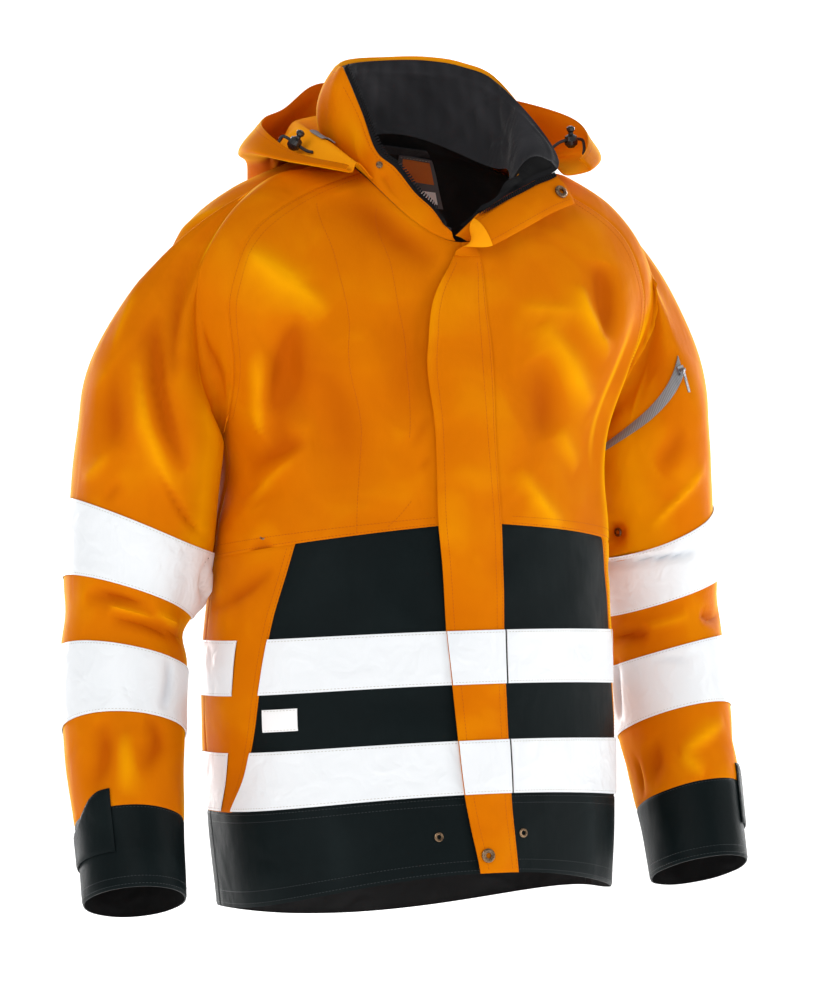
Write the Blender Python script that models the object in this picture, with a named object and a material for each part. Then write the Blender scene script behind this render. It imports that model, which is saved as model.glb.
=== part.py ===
"""Hi-vis work jacket, filled out as if worn, with nobody in it.

Metres, +Z up, the front faces -Y and the wearer's left is +X. The origin is the middle of the neck
opening at shoulder level, where the wearer's shoulders hold the jacket up.

Three surfaces carry everything: the body tube, the two sleeve tubes and the neck band (collar and
lapels). Each is a function of two parameters, worked out from a short table of sections. A cloth
piece is a wall on part of such a surface, and what is sewn on top is made from the same points,
moved out along the surface's normal.
"""

import bmesh
import bpy
import numpy as np
from mathutils import Matrix, Vector

for old in list(bpy.data.objects):
    bpy.data.objects.remove(old, do_unlink=True)

# ---------------------------------------------------------------- driving sizes (metres)
CLOTH = 0.0012          # wall of the shell fabric
TRIM = 0.0010           # wall of a sewn-on tape, patch or tab
SEAM = 0.0003           # gap between neighbouring pieces
LINING = 0.0076         # from the shell's face to the lining behind it
LIFT = 0.0009           # from a panel's face to the underside of what is sewn on it
TAPE_BODY = 0.050       # reflective tape on the body
TAPE_SLEEVE = 0.070     # reflective tape on the sleeves

NECK = 0.060            # drops are measured down the front edge, from the origin's level
ARMPIT = 0.236
BLOCK_TOP = 0.322       # top of the black front blocks at the storm flap
TAPE_1 = 0.422          # upper edge of the upper body tape
TAPE_2 = 0.524
BAND_TOP = 0.575        # the black hem band starts under the lower tape
HEM = 0.647

RIGHT = -1              # the wearer's right sleeve is at -X
LEFT = 1

# ---------------------------------------------------------------- tables
# Rings of the body tube. drop: of the ring at the centre front; z_side, z_back: its height there.
BODY_RINGS = {
    "drop":       (0.060, 0.085, 0.120, 0.165, 0.236, 0.330, 0.450, 0.575, 0.647),
    "z_side":     (0.022, 0.010, -0.022, -0.090, -0.238, -0.334, -0.458, -0.590, -0.680),
    "z_back":     (0.058, 0.040, -0.004, -0.080, -0.225, -0.338, -0.465, -0.603, -0.707),
    "half_width": (0.088, 0.150, 0.214, 0.240, 0.193, 0.195, 0.203, 0.201, 0.194),
    "front":      (0.086, 0.100, 0.120, 0.136, 0.148, 0.150, 0.150, 0.154, 0.160),
    "back":       (0.080, 0.098, 0.118, 0.130, 0.132, 0.128, 0.130, 0.140, 0.150),
    "x_mid":      (0.000, 0.000, 0.000, 0.000, -0.002, -0.003, -0.008, -0.006, -0.004),
    "y_mid":      (-0.036, -0.028, -0.014, -0.004, 0.002, 0.004, 0.004, 0.004, 0.004),
    "square":     (2.0, 2.05, 2.15, 2.3, 2.35, 2.25, 2.2, 2.15, 2.1),
}

# Raglan seams on the body tube, as angles round it from the centre front.
RAGLAN = {
    "run":         (0.00, 0.18, 0.40, 0.62, 0.82, 1.00),
    "drop":        (0.060, 0.080, 0.115, 0.158, 0.202, 0.236),
    "front_angle": (66.0, 63.0, 61.0, 62.0, 69.0, 90.0),
    "back_angle":  (112.0, 120.0, 125.0, 121.0, 110.0, 90.0),
}

# Rings of the sleeves below the shoulder cap, measured along the sleeve from the biceps.
SLEEVE_RINGS = {
    "along":   (0.000, 0.078, 0.156, 0.234, 0.312, 0.390, 0.450),
    "x_right": (0.263, 0.269, 0.277, 0.286, 0.294, 0.300, 0.304),
    "x_left":  (0.263, 0.272, 0.281, 0.285, 0.287, 0.286, 0.284),
    "y":       (0.028, 0.040, 0.044, 0.036, 0.014, -0.014, -0.034),
    "z":       (-0.232, -0.309, -0.385, -0.461, -0.536, -0.610, -0.667),
    "wide":    (0.064, 0.064, 0.062, 0.059, 0.055, 0.049, 0.047),
    "deep":    (0.082, 0.079, 0.074, 0.069, 0.063, 0.058, 0.056),
    "tilt":    (20.0, 18.0, 15.0, 9.0, 5.0, 4.0, 2.0),
}
SLEEVE_TAPES = {RIGHT: (0.088, 0.218), LEFT: (0.102, 0.229)}   # their upper edges
CUFF_TOP = 0.376
CUFF_END = 0.450
CAP = 0.200             # nominal length of the cap, from the raglan seam to the biceps
TAB_TOP = 0.360         # the tip of the cuff tab stands above the cuff's edge

# The neck band: collar and the upper ends of the front edges. round: degrees from the zip on the
# right, round the back, to the zip on the left; edge: the free edge; rise and flare lift and spread
# the middle of each section.
BAND = {
    "round":     (4, 20, 38, 55, 68, 76, 84, 91, 110, 145,
                  180, 215, 242, 262, 282, 300, 316, 332, 346, 356),
    "edge_x":    (-0.0130, -0.0240, -0.0390, -0.0550, -0.0740, -0.0830, -0.0960, -0.0945, -0.0800, -0.0420,
                  0.0030, 0.0460, 0.0740, 0.0920, 0.1020, 0.1160, 0.0780, 0.0410, 0.0100, -0.0060),
    "edge_y":    (-0.1225, -0.1130, -0.1030, -0.0950, -0.0880, -0.0800, -0.0720, -0.0570, -0.0220, 0.0340,
                  0.0580, 0.0480, 0.0280, 0.0000, -0.0450, -0.0880, -0.1050, -0.1170, -0.1225, -0.1235),
    "edge_z":    (-0.0520, -0.0300, -0.0120, 0.0110, 0.0310, 0.0660, 0.1040, 0.1085, 0.1150, 0.1260,
                  0.1310, 0.1310, 0.1240, 0.1100, 0.0730, 0.0160, -0.0030, -0.0200, -0.0410, -0.0540),
    "rise":      (0.000, 0.002, 0.003, 0.004, 0.006, 0.006, 0.000, 0.000, 0.000, 0.000,
                  0.000, 0.000, 0.000, 0.004, 0.015, 0.032, 0.032, 0.022, 0.008, 0.001),
    "flare":     (0.000, 0.001, 0.002, 0.003, 0.004, 0.007, 0.022, 0.034, 0.032, 0.014,
                  0.008, 0.006, 0.004, 0.004, 0.000, 0.000, 0.000, 0.000, 0.000, 0.000),
}

# The folded-out upper end of the storm flap: its free edge, along the neck band.
FLAP_WING = {
    "round": (303, 316, 332, 344, 350),
    "out_x": (0.130, 0.098, 0.058, 0.024, 0.010),
    "out_y": (-0.105, -0.118, -0.130, -0.137, -0.139),
    "out_z": (-0.020, -0.031, -0.049, -0.064, -0.068),
}

# The hood, hanging back: sections round the neck. Distances are out from the neck's middle.
HOOD = {
    "round":     (56, 78, 96, 112, 130, 150, 180, 210, 240, 264, 282, 304),
    "crest_out": (0.112, 0.110, 0.116, 0.119, 0.116, 0.115, 0.116, 0.113, 0.108, 0.110, 0.116, 0.126),
    "crest_z":   (0.012, 0.036, 0.052, 0.061, 0.067, 0.072, 0.076, 0.072, 0.064, 0.050, 0.030, 0.004),
    "low_out":   (0.122, 0.132, 0.138, 0.143, 0.150, 0.172, 0.190, 0.182, 0.146, 0.138, 0.138, 0.136),
    "low_z":     (0.004, 0.016, 0.026, 0.028, 0.024, -0.018, -0.070, -0.022, 0.028, 0.024, 0.014, -0.002),
    "belly_out": (0.134, 0.158, 0.172, 0.174, 0.176, 0.206, 0.236, 0.230, 0.206, 0.184, 0.172, 0.146),
    "belly_z":   (0.006, 0.018, 0.028, 0.030, 0.025, -0.012, -0.060, -0.014, 0.032, 0.030, 0.020, 0.000),
    "rim_out":   (0.126, 0.148, 0.158, 0.152, 0.139, 0.134, 0.150, 0.158, 0.168, 0.174, 0.164, 0.138),
    "rim_z":     (0.012, 0.027, 0.052, 0.066, 0.078, 0.103, 0.110, 0.106, 0.090, 0.066, 0.040, 0.008),
}
HOOD_ROOT = 0.06             # the hood is sewn on this far up the collar
HOOD_SEAT = 0.0025           # and this far off its face, for the seam's thickness
NECK_MIDDLE = (0.0, -0.036)  # the hood's sections fan out from here

# Folds of the body and of the sleeves: soft troughs, where u and v are the surface's own measures,
# long and wide their half lengths in metres, deep how far they sink, turn their slope in degrees.
BODY_FOLDS = {
    "u":    (-47.0, -74.0, -30.0, 52.0, -40.0, 30.0),
    "v":    (0.215, 0.270, 0.265, 0.215, 0.160, 0.245),
    "long": (0.060, 0.050, 0.050, 0.060, 0.070, 0.060),
    "wide": (0.018, 0.020, 0.018, 0.022, 0.024, 0.024),
    "deep": (0.006, 0.007, 0.004, 0.006, -0.004, 0.003),
    "turn": (70.0, 20.0, 120.0, 100.0, 35.0, 60.0),
}
SLEEVE_FOLDS = {
    "side": (RIGHT, RIGHT, RIGHT, LEFT, LEFT, RIGHT),
    "u":    (150.0, 110.0, 60.0, 150.0, 60.0, 330.0),
    "v":    (0.170, 0.195, 0.030, 0.060, 0.196, 0.190),
    "long": (0.050, 0.060, 0.060, 0.060, 0.060, 0.050),
    "wide": (0.020, 0.016, 0.026, 0.024, 0.020, 0.020),
    "deep": (0.007, 0.005, 0.005, 0.005, 0.004, 0.004),
    "turn": (15.0, -10.0, 60.0, -30.0, 5.0, 0.0),
}

# The storm flap on the front: angles of its free edge and of its seam on the body tube.
FLAP = {
    "drop": (0.072, 0.100, 0.160, 0.240, 0.322, 0.370, 0.420, 0.472, 0.524, 0.574, 0.610, 0.647),
    "free": (-4.5, -8.0, -8.6, -9.0, -9.0, -7.6, -6.2, -4.9, -4.2, -3.5, -2.4, -1.2),
    "seam": (7.5, 5.0, 3.4, 4.4, 6.2, 7.0, 7.6, 8.0, 8.3, 8.4, 8.9, 9.7),
}

# The slanted pocket edge of the black front blocks, as angles on the body tube.
BLOCK_EDGE = {
    "drop":  (0.322, 0.388, 0.422, 0.466, 0.524, 0.550, 0.575),
    "angle": (52.5, 57.5, 59.8, 62.6, 67.6, 72.0, 80.0),
}
SIDE_SEAM = 96.0             # angle of the side seams on the body tube
SEAM_SLOPE = 0.024           # how far the blocks' upper seam drops from the front to the side
SLOPED = (0.270, 0.400)      # the rows between which that slope fades in and out again

# ---------------------------------------------------------------- helpers


def through(knots, values, at):
    """A smooth curve through the table's values: cubic pieces with central-difference slopes."""
    knots = np.asarray(knots, float)
    values = np.asarray(values, float)
    at = np.clip(np.asarray(at, float), knots[0], knots[-1])
    slopes = np.gradient(values, knots)
    i = np.clip(np.searchsorted(knots, at, side="right") - 1, 0, len(knots) - 2)
    width = knots[i + 1] - knots[i]
    t = (at - knots[i]) / width
    start = (1 + 2 * t) * (1 - t) ** 2 * values[i] + t * (1 - t) ** 2 * width * slopes[i]
    end = t * t * (3 - 2 * t) * values[i + 1] + t * t * (t - 1) * width * slopes[i + 1]
    return start + end


def smoothstep(low, high, at):
    """0 below low, 1 above high, an even S between."""
    t = np.clip((np.asarray(at, float) - low) / (high - low), 0.0, 1.0)
    return t * t * (3 - 2 * t)


def power(value, exponent):
    """A signed power, for the squared-off rings."""
    return np.sign(value) * np.abs(value) ** exponent


def fold_depth(folds, picked, u, v, radius):
    """How far the folds of a table sink a surface at u degrees and v metres."""
    sunk = 0.0
    for number in picked:
        row = {name: column[number] for name, column in folds.items()}
        turn = np.radians(row["turn"])
        across = np.radians((np.asarray(u, float) - row["u"] + 180.0) % 360.0 - 180.0) * radius
        down = np.asarray(v, float) - row["v"]
        lengthwise = across * np.cos(turn) + down * np.sin(turn)
        crosswise = down * np.cos(turn) - across * np.sin(turn)
        sunk = sunk + row["deep"] * np.exp(-(lengthwise / row["long"]) ** 2 - (crosswise / row["wide"]) ** 2)
    return sunk


def body(angle, drop):
    """A point of the body tube: angle in degrees from the centre front, drop as in BODY_RINGS."""
    ring = {name: through(BODY_RINGS["drop"], column, drop) for name, column in BODY_RINGS.items()}
    turn = np.radians(angle)
    sine = np.sin(turn)
    cosine = np.cos(turn)
    exponent = 2.0 / ring["square"]
    sunk = fold_depth(BODY_FOLDS, range(len(BODY_FOLDS["u"])), angle, drop, 0.17)
    depth = np.where(cosine > 0, ring["front"], ring["back"]) - sunk
    end = np.where(cosine > 0, -np.asarray(drop, float), ring["z_back"])
    x = ring["x_mid"] + (ring["half_width"] - sunk) * power(sine, exponent)
    y = ring["y_mid"] - depth * power(cosine, exponent)
    z = ring["z_side"] + (end - ring["z_side"]) * cosine**2
    return np.stack(np.broadcast_arrays(x, y, z), -1)


def unit(vectors):
    """The vectors, made one long."""
    return vectors / np.maximum(np.linalg.norm(vectors, axis=-1, keepdims=True), 1e-12)


def lifted(surface, u, v, out, turn=1.0):
    """Points of a surface moved out along its normal; turn is -1 where u and v run the other way."""
    du = 1e-3 * (np.max(u) - np.min(u)) + 1e-6
    dv = 1e-3 * (np.max(v) - np.min(v)) + 1e-6
    along_u = surface(u + du, v) - surface(u - du, v)
    along_v = surface(u, v + dv) - surface(u, v - dv)
    normal = unit(np.cross(unit(along_v), unit(along_u))) * turn
    return surface(u, v) + normal * np.asarray(out)[..., None]


def sleeve_axis(side, along):
    """The centre of a sleeve ring and its three directions: down the sleeve, outward, forward."""
    rows = SLEEVE_RINGS
    step = 1e-3

    outer = rows["x_left"] if side == LEFT else rows["x_right"]

    def centre(at):
        return np.stack([side * through(rows["along"], outer, at),
                         through(rows["along"], rows["y"], at),
                         through(rows["along"], rows["z"], at)], -1)

    middle = centre(along)
    down = unit(centre(along + step) - centre(along - step))
    outward = np.zeros_like(middle)
    outward[..., 0] = side
    outward = unit(outward - down * np.sum(outward * down, -1, keepdims=True))
    forward = np.cross(down, outward)
    forward = forward * np.sign(-forward[..., 1:2])
    tilt = np.radians(through(rows["along"], rows["tilt"], along))[..., None]
    outward = outward * np.cos(tilt) - down * np.sin(tilt)
    return middle, down, outward, forward


def sleeve_ring(side, angle, along):
    """A point of the sleeve below the cap: angle 0 outside, 90 in front, 180 against the body."""
    along = np.asarray(along, float)
    inside = np.clip(along, 0.002, CUFF_END - 0.002)
    middle, down, outward, forward = sleeve_axis(side, inside)
    middle = middle + down * (along - inside)[..., None]
    turn = np.radians(angle)
    picked = [number for number, where in enumerate(SLEEVE_FOLDS["side"]) if where == side]
    sunk = fold_depth(SLEEVE_FOLDS, picked, angle, along, 0.07)
    wide = through(SLEEVE_RINGS["along"], SLEEVE_RINGS["wide"], along) - sunk
    deep = through(SLEEVE_RINGS["along"], SLEEVE_RINGS["deep"], along) - sunk
    return (middle + outward * (wide * np.cos(turn))[..., None]
            + forward * (deep * np.sin(turn))[..., None])


NECK_SHARE = 24.0       # degrees of the sleeve's turn that lie along the neck, each way
SEAM_WINDOW = 20.0      # the seam's direction is taken over this much of the turn, each way
LEAVING = 1.10          # how fully the cap leaves the seam and comes into the sleeve, as shares of
ARRIVING = 1.05         # the straight way between them


def raglan_loop(side, angle):
    """Where the sleeve starts: the raglan seams and the short stretch of neck between them."""
    turn = np.mod(angle + 180.0, 360.0) - 180.0
    run = np.clip((np.abs(turn) - NECK_SHARE) / (180.0 - NECK_SHARE), 0.0, 1.0)
    seam = np.where(turn >= 0, through(RAGLAN["run"], RAGLAN["front_angle"], run),
                    through(RAGLAN["run"], RAGLAN["back_angle"], run))
    share = np.clip(np.abs(turn) / NECK_SHARE, 0.0, 1.0)
    middle = 0.5 * (RAGLAN["front_angle"][0] + RAGLAN["back_angle"][0])
    return side * (middle + (seam - middle) * share), through(RAGLAN["run"], RAGLAN["drop"], run)


def sleeve(side):
    """The whole sleeve as a function of the turn and of the way along it, negative on the cap."""

    def surface(angle, along):
        angle, along = np.broadcast_arrays(np.asarray(angle, float), np.asarray(along, float))
        lower = sleeve_ring(side, angle, np.maximum(along, 0.0))
        round_body, drop = raglan_loop(side, angle)
        start = body(round_body, drop)
        end = sleeve_ring(side, angle, np.zeros_like(along))
        across = body(round_body + side * 0.5, drop) - body(round_body - side * 0.5, drop)
        downward = body(round_body, drop + 0.001) - body(round_body, drop - 0.001)
        normal = unit(np.cross(across, downward)) * side
        normal = normal * np.sign(np.sum(normal * (start - [0.0, 0.0, -0.25]), -1, keepdims=True))
        seam = (body(*raglan_loop(side, angle + SEAM_WINDOW))
                - body(*raglan_loop(side, angle - SEAM_WINDOW)))
        outward = unit(np.cross(seam, normal))
        outward = outward * np.sign(outward[..., :1] * side + 1e-9)
        _, down, _, _ = sleeve_axis(side, np.full(np.shape(along), 0.004))
        length = np.linalg.norm(end - start, axis=-1)[..., None]
        t = np.clip(1.0 + along / CAP, 0.0, 1.0)[..., None]
        cap = ((1 + 2 * t) * (1 - t) ** 2 * start + t * (1 - t) ** 2 * outward * length * LEAVING
               + t * t * (3 - 2 * t) * end + t * t * (t - 1) * down * length * ARRIVING)
        return np.where((along < 0.0)[..., None], cap, lower)

    return surface


def front(angle, drop):
    """The body tube with the seam over the black blocks slanted down towards the sides."""
    fade = np.minimum(np.clip((drop - SLOPED[0]) / (BLOCK_TOP - SLOPED[0]), 0.0, 1.0),
                      np.clip((SLOPED[1] - drop) / (SLOPED[1] - BLOCK_TOP), 0.0, 1.0))
    return body(angle, drop + SEAM_SLOPE * np.abs(angle) / 90.0 * fade)


def neck_band(way_round, height):
    """A point of the collar and lapels: degrees round the band, height 0 at the neck, 1 at its edge."""
    way_round, height = np.broadcast_arrays(np.asarray(way_round, float), np.asarray(height, float))
    row = {name: through(BAND["round"], column, way_round) for name, column in BAND.items()}
    base = body(-way_round, np.full_like(way_round, NECK)) + np.array([0.0, 0.0, 2.0 * SEAM])
    edge = np.stack([row["edge_x"], row["edge_y"], row["edge_z"]], -1)
    turn = np.radians(-way_round)
    outward = np.stack([np.sin(turn), -np.cos(turn), np.zeros_like(turn)], -1)
    middle = 0.5 * (base + edge) + outward * row["flare"][..., None]
    middle[..., 2] += row["rise"]
    h = height[..., None]
    return (1 - h) ** 2 * base + 2 * h * (1 - h) * middle + h * h * edge


def band_edge(way_round, width):
    """Past the free edge of the neck band by width metres, straight on."""
    way_round = np.asarray(way_round, float)
    edge = neck_band(way_round, np.ones_like(way_round))
    onward = unit(edge - neck_band(way_round, np.full_like(way_round, 0.97)))
    return edge + onward * np.asarray(width)[..., None]


def flap_wing(way_round, width):
    """The folded-out flap: from the edge of the neck band (width 0) out to its own free edge (1)."""
    way_round, width = np.broadcast_arrays(np.asarray(way_round, float), np.asarray(width, float))
    inner = band_edge(way_round, np.full_like(way_round, 3.0 * SEAM))
    out = np.stack([through(FLAP_WING["round"], FLAP_WING[name], way_round)
                    for name in ("out_x", "out_y", "out_z")], -1)
    middle = 0.5 * (inner + out) + np.array([0.0, -0.006, 0.006])
    w = width[..., None]
    return (1 - w) ** 2 * inner + 2 * w * (1 - w) * middle + w * w * out


def hood(way_round, way):
    """A point of the hood: degrees round the neck, way 0 at the collar seam to 1 at the face edge."""
    way_round, way = np.broadcast_arrays(np.asarray(way_round, float), np.asarray(way, float))
    row = {name: through(HOOD["round"], column, way_round) for name, column in HOOD.items()}
    turn = np.radians(-way_round)
    outward = np.stack([np.sin(turn), -np.cos(turn)], -1)
    root = lifted(neck_band, way_round, np.full_like(way_round, HOOD_ROOT), HOOD_SEAT)
    seam_out = np.hypot(root[..., 0] - NECK_MIDDLE[0], root[..., 1] - NECK_MIDDLE[1])
    knots = (0.0, 0.22, 0.48, 0.68, 1.0)     # root, crest, low, belly and rim
    outs = (seam_out, row["crest_out"], row["low_out"], row["belly_out"], row["rim_out"])
    heights = (root[..., 2], row["crest_z"], row["low_z"], row["belly_z"], row["rim_z"])
    radius = blend(knots, outs, way)
    fade = (1.0 - np.clip(way / knots[1], 0.0, 1.0)) ** 2
    spoke = np.stack([NECK_MIDDLE[0] + outward[..., 0] * radius,
                      NECK_MIDDLE[1] + outward[..., 1] * radius, blend(knots, heights, way)], -1)
    start = np.stack([NECK_MIDDLE[0] + outward[..., 0] * seam_out,
                      NECK_MIDDLE[1] + outward[..., 1] * seam_out, root[..., 2]], -1)
    return spoke + (root - start) * fade[..., None]


def blend(knots, columns, at):
    """through(), where the values at each knot are whole arrays."""
    knots = np.asarray(knots, float)
    values = np.stack(columns)
    slopes = np.gradient(values, knots, axis=0)
    at = np.clip(at, 0.0, 1.0)
    i = np.clip(np.searchsorted(knots, at, side="right") - 1, 0, len(knots) - 2)
    width = knots[i + 1] - knots[i]
    t = (at - knots[i]) / width

    def pick(array, index):
        return np.take_along_axis(array, index[None], 0)[0]

    return ((1 + 2 * t) * (1 - t) ** 2 * pick(values, i) + t * (1 - t) ** 2 * width * pick(slopes, i)
            + t * t * (3 - 2 * t) * pick(values, i + 1)
            + t * t * (t - 1) * width * pick(slopes, i + 1))


# ---------------------------------------------------------------- materials and solids
FINISHES = {                 # colour, roughness, metallic
    "orange_shell": ((0.83, 0.27, 0.0), 0.55, 0.0),
    "black_shell":  ((0.018, 0.026, 0.028), 0.6, 0.0),
    "reflective":   ((0.85, 0.86, 0.88), 0.35, 0.0),
    "collar_lining": ((0.05, 0.05, 0.055), 0.7, 0.0),
    "body_lining":  ((0.02, 0.02, 0.022), 0.75, 0.0),
    "grey_tape":    ((0.30, 0.31, 0.33), 0.5, 0.0),
    "label_cloth":  ((0.10, 0.11, 0.13), 0.7, 0.0),
    "black_plastic": ((0.02, 0.02, 0.02), 0.25, 0.0),
    "black_cord":   ((0.015, 0.015, 0.015), 0.8, 0.0),
    "dark_metal":   ((0.18, 0.15, 0.13), 0.35, 1.0),
    "white_patch":  ((0.88, 0.88, 0.88), 0.6, 0.0),
}


def finish(slot):
    """The material of that name, made once."""
    made = bpy.data.materials.get(slot)
    if made is None:
        colour, roughness, metallic = FINISHES[slot]
        made = bpy.data.materials.new(slot)
        made.use_nodes = True
        shader = made.node_tree.nodes["Principled BSDF"]
        shader.inputs["Base Color"].default_value = (*colour, 1.0)
        shader.inputs["Roughness"].default_value = roughness
        shader.inputs["Metallic"].default_value = metallic
    return made


def solid(name, points, faces, slot):
    """One closed mesh object, its faces turned outwards."""
    mesh = bpy.data.meshes.new(name)
    mesh.from_pydata([tuple(map(float, point)) for point in points], [], faces)
    shell = bmesh.new()
    shell.from_mesh(mesh)
    bmesh.ops.recalc_face_normals(shell, faces=shell.faces)
    if shell.calc_volume(signed=True) < 0:
        bmesh.ops.reverse_faces(shell, faces=shell.faces)
    shell.to_mesh(mesh)
    shell.free()
    mesh.shade_smooth()
    made = bpy.data.objects.new(name, mesh)
    bpy.context.collection.objects.link(made)
    mesh.materials.append(finish(slot))
    return made


def wall(name, outer, inner, slot, ring=False):
    """A closed wall between two grids of points; ring joins the last column to the first."""
    rows, columns = outer.shape[:2]
    points = np.concatenate([outer.reshape(-1, 3), inner.reshape(-1, 3)])
    shift = rows * columns
    faces = []

    def quad(a, b, c, d):
        faces.append((a, b, c))
        faces.append((a, c, d))

    spans = columns if ring else columns - 1
    for row in range(rows - 1):
        for column in range(spans):
            a = row * columns + column
            b = row * columns + (column + 1) % columns
            c = b + columns
            d = a + columns
            quad(a, b, c, d)
            quad(a + shift, d + shift, c + shift, b + shift)
    for column in range(spans):
        a = column
        b = (column + 1) % columns
        quad(b, a, a + shift, b + shift)
        low = (rows - 1) * columns
        quad(a + low, b + low, b + low + shift, a + low + shift)
    if not ring:
        for row in range(rows - 1):
            a = row * columns
            quad(a, a + columns, a + columns + shift, a + shift)
            b = a + columns - 1
            quad(b + columns, b, b + shift, b + columns + shift)
    return solid(name, points, faces, slot)


def across(left, right, steps):
    """The columns of a row: left and right are numbers or functions of the row, steps how many
    even steps lie between, or the columns as shares of the way."""
    share = np.linspace(0.0, 1.0, steps + 1) if isinstance(steps, int) else np.asarray(steps)

    def columns(row):
        low = left(row) if callable(left) else left
        high = right(row) if callable(right) else right
        return low + (high - low) * share

    return columns


def panel(name, surface, rows, columns, inner, outer, slot, turn=1.0, ring=False, trim="tblr"):
    """A wall on part of a surface.

    rows: the second parameter of each grid row; columns: a function giving the first parameter along
    a row; inner, outer: how far the two faces stand off the surface, numbers or grids; trim: which
    of the sides top, bottom, left and right give up half a seam gap.
    """
    u = np.array([columns(value) for value in rows], float)
    v = np.repeat(np.asarray(rows, float)[:, None], u.shape[1], axis=1)
    gap = 0.5 * SEAM
    small = 1e-3

    def pull(array, index, at_u, at_v, du, dv):
        step = np.linalg.norm(surface(at_u + du, at_v + dv) - surface(at_u, at_v), axis=-1)
        array[index] += (du + dv) * gap / np.maximum(step, 1e-9)

    way = np.sign(u[0, -1] - u[0, 0]) * 0.05
    if "t" in trim:
        pull(v, 0, u[0], v[0], 0.0, small)
    if "b" in trim:
        pull(v, -1, u[-1], v[-1], 0.0, -small)
    if "l" in trim and not ring:
        pull(u, (slice(None), 0), u[:, 0], v[:, 0], way, 0.0)
    if "r" in trim and not ring:
        pull(u, (slice(None), -1), u[:, -1], v[:, -1], -way, 0.0)
    return wall(name, lifted(surface, u, v, outer, turn), lifted(surface, u, v, inner, turn), slot, ring)


def frame_at(surface, u, v, out, turn=1.0):
    """A point off a surface with its normal, and the surface's two directions there."""
    pair = lifted(surface, np.array([u, u]), np.array([v, v]), np.array([out, out + 0.001]), turn)
    normal = (pair[1] - pair[0]) / np.linalg.norm(pair[1] - pair[0])
    across = surface(np.array(u + 0.01), np.array(v)) - surface(np.array(u), np.array(v))
    across = across - normal * np.dot(across, normal)
    across = across / np.linalg.norm(across)
    return pair[0], normal, across, np.cross(normal, across)


# ---------------------------------------------------------------- where the pieces meet
RAGLAN_STEPS = 6
SHOULDER_RUN = np.linspace(0.0, 1.0, RAGLAN_STEPS + 1)
SHOULDER_ROWS = through(RAGLAN["run"], RAGLAN["drop"], SHOULDER_RUN)
FRONT_SEAM = through(RAGLAN["run"], RAGLAN["front_angle"], SHOULDER_RUN)
BACK_SEAM = through(RAGLAN["run"], RAGLAN["back_angle"], SHOULDER_RUN)
UPPER_ROWS = (*SHOULDER_ROWS, 0.5 * (ARMPIT + BLOCK_TOP), BLOCK_TOP)
LOWER_ROWS = (BLOCK_TOP, 0.355, 0.388, TAPE_1, TAPE_1 + 0.5 * TAPE_BODY, TAPE_1 + TAPE_BODY, TAPE_2,
              TAPE_2 + 0.5 * TAPE_BODY, BAND_TOP)
BAND_ROWS = (BAND_TOP, 0.5 * (BAND_TOP + HEM), HEM)
TOUCH = LIFT + TRIM
STRIP_SHARES = (0.0, 0.31, 0.62, 1.0)      # columns of the side strip; the body tapes end on the third
BACK_STEPS = 12


def side_edge(drop):
    """Angle of a front's outer edge: the raglan seam, and the side seam below the armpit."""
    if drop < ARMPIT:
        return float(np.interp(drop, SHOULDER_ROWS, FRONT_SEAM))
    return 90.0 + (SIDE_SEAM - 90.0) * float(smoothstep(ARMPIT, 0.34, drop))


def back_edge(drop):
    """Angle of the back's left edge."""
    if drop < ARMPIT:
        return float(np.interp(drop, SHOULDER_ROWS, BACK_SEAM))
    return side_edge(drop)


def block_edge(drop):
    """Angle of the slanted pocket edge."""
    return float(through(BLOCK_EDGE["drop"], BLOCK_EDGE["angle"], drop))


def front_shares(drop):
    """Columns of a whole front, so that they fall in with the strip's and the block's at this row."""
    edge = 1.0 - block_edge(drop) / side_edge(drop)
    return np.concatenate([edge * np.array(STRIP_SHARES), edge + (1.0 - edge) * np.arange(1, 7) / 6.0])


def front_tape(side, inner):
    """Columns of a tape on a front block, the block's own until the last, which inner gives."""
    return lambda drop: np.append(side * block_edge(drop) * np.arange(6, 0, -1) / 6.0, inner(drop))


def back_tape(drop):
    """Columns of a tape round the back: part of a side strip, the back, part of the other strip."""
    strip = side_edge(drop) + (block_edge(drop) - side_edge(drop)) * np.array(STRIP_SHARES[2:0:-1])
    back = np.linspace(side_edge(drop), 360.0 - side_edge(drop), BACK_STEPS + 1)
    return np.concatenate([strip, back, 360.0 - strip[::-1]])


def spread(low, high, count):
    """Evenly spaced rows from low to high."""
    return tuple(low + (high - low) * index / count for index in range(count + 1))


# ---------------------------------------------------------------- body
for side, hand in ((RIGHT, "right"), (LEFT, "left")):

    def sewn(drop, side=side):
        return side * side_edge(drop)

    def pocket(drop, side=side):
        return side * block_edge(drop)

    panel("front_upper_" + hand, front, UPPER_ROWS, across(sewn, 0.0, front_shares(BLOCK_TOP)),
          -CLOTH, 0.0, "orange_shell")
    panel("front_block_" + hand, front, LOWER_ROWS, across(pocket, 0.0, 6), -CLOTH, 0.0, "black_shell")
    panel("side_strip_" + hand, front, LOWER_ROWS, across(sewn, pocket, STRIP_SHARES), -CLOTH, 0.0,
          "orange_shell")
    panel("hem_band_" + hand, body, BAND_ROWS, across(side * SIDE_SEAM, 0.0, front_shares(BAND_TOP)),
          -CLOTH, 0.0, "black_shell")

round_back = across(back_edge, lambda drop: 360.0 - back_edge(drop), BACK_STEPS)
panel("back", body, (*UPPER_ROWS[:-1], *LOWER_ROWS), round_back, -CLOTH, 0.0, "orange_shell")
panel("hem_band_back", body, BAND_ROWS, round_back, -CLOTH, 0.0, "black_shell")

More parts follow.
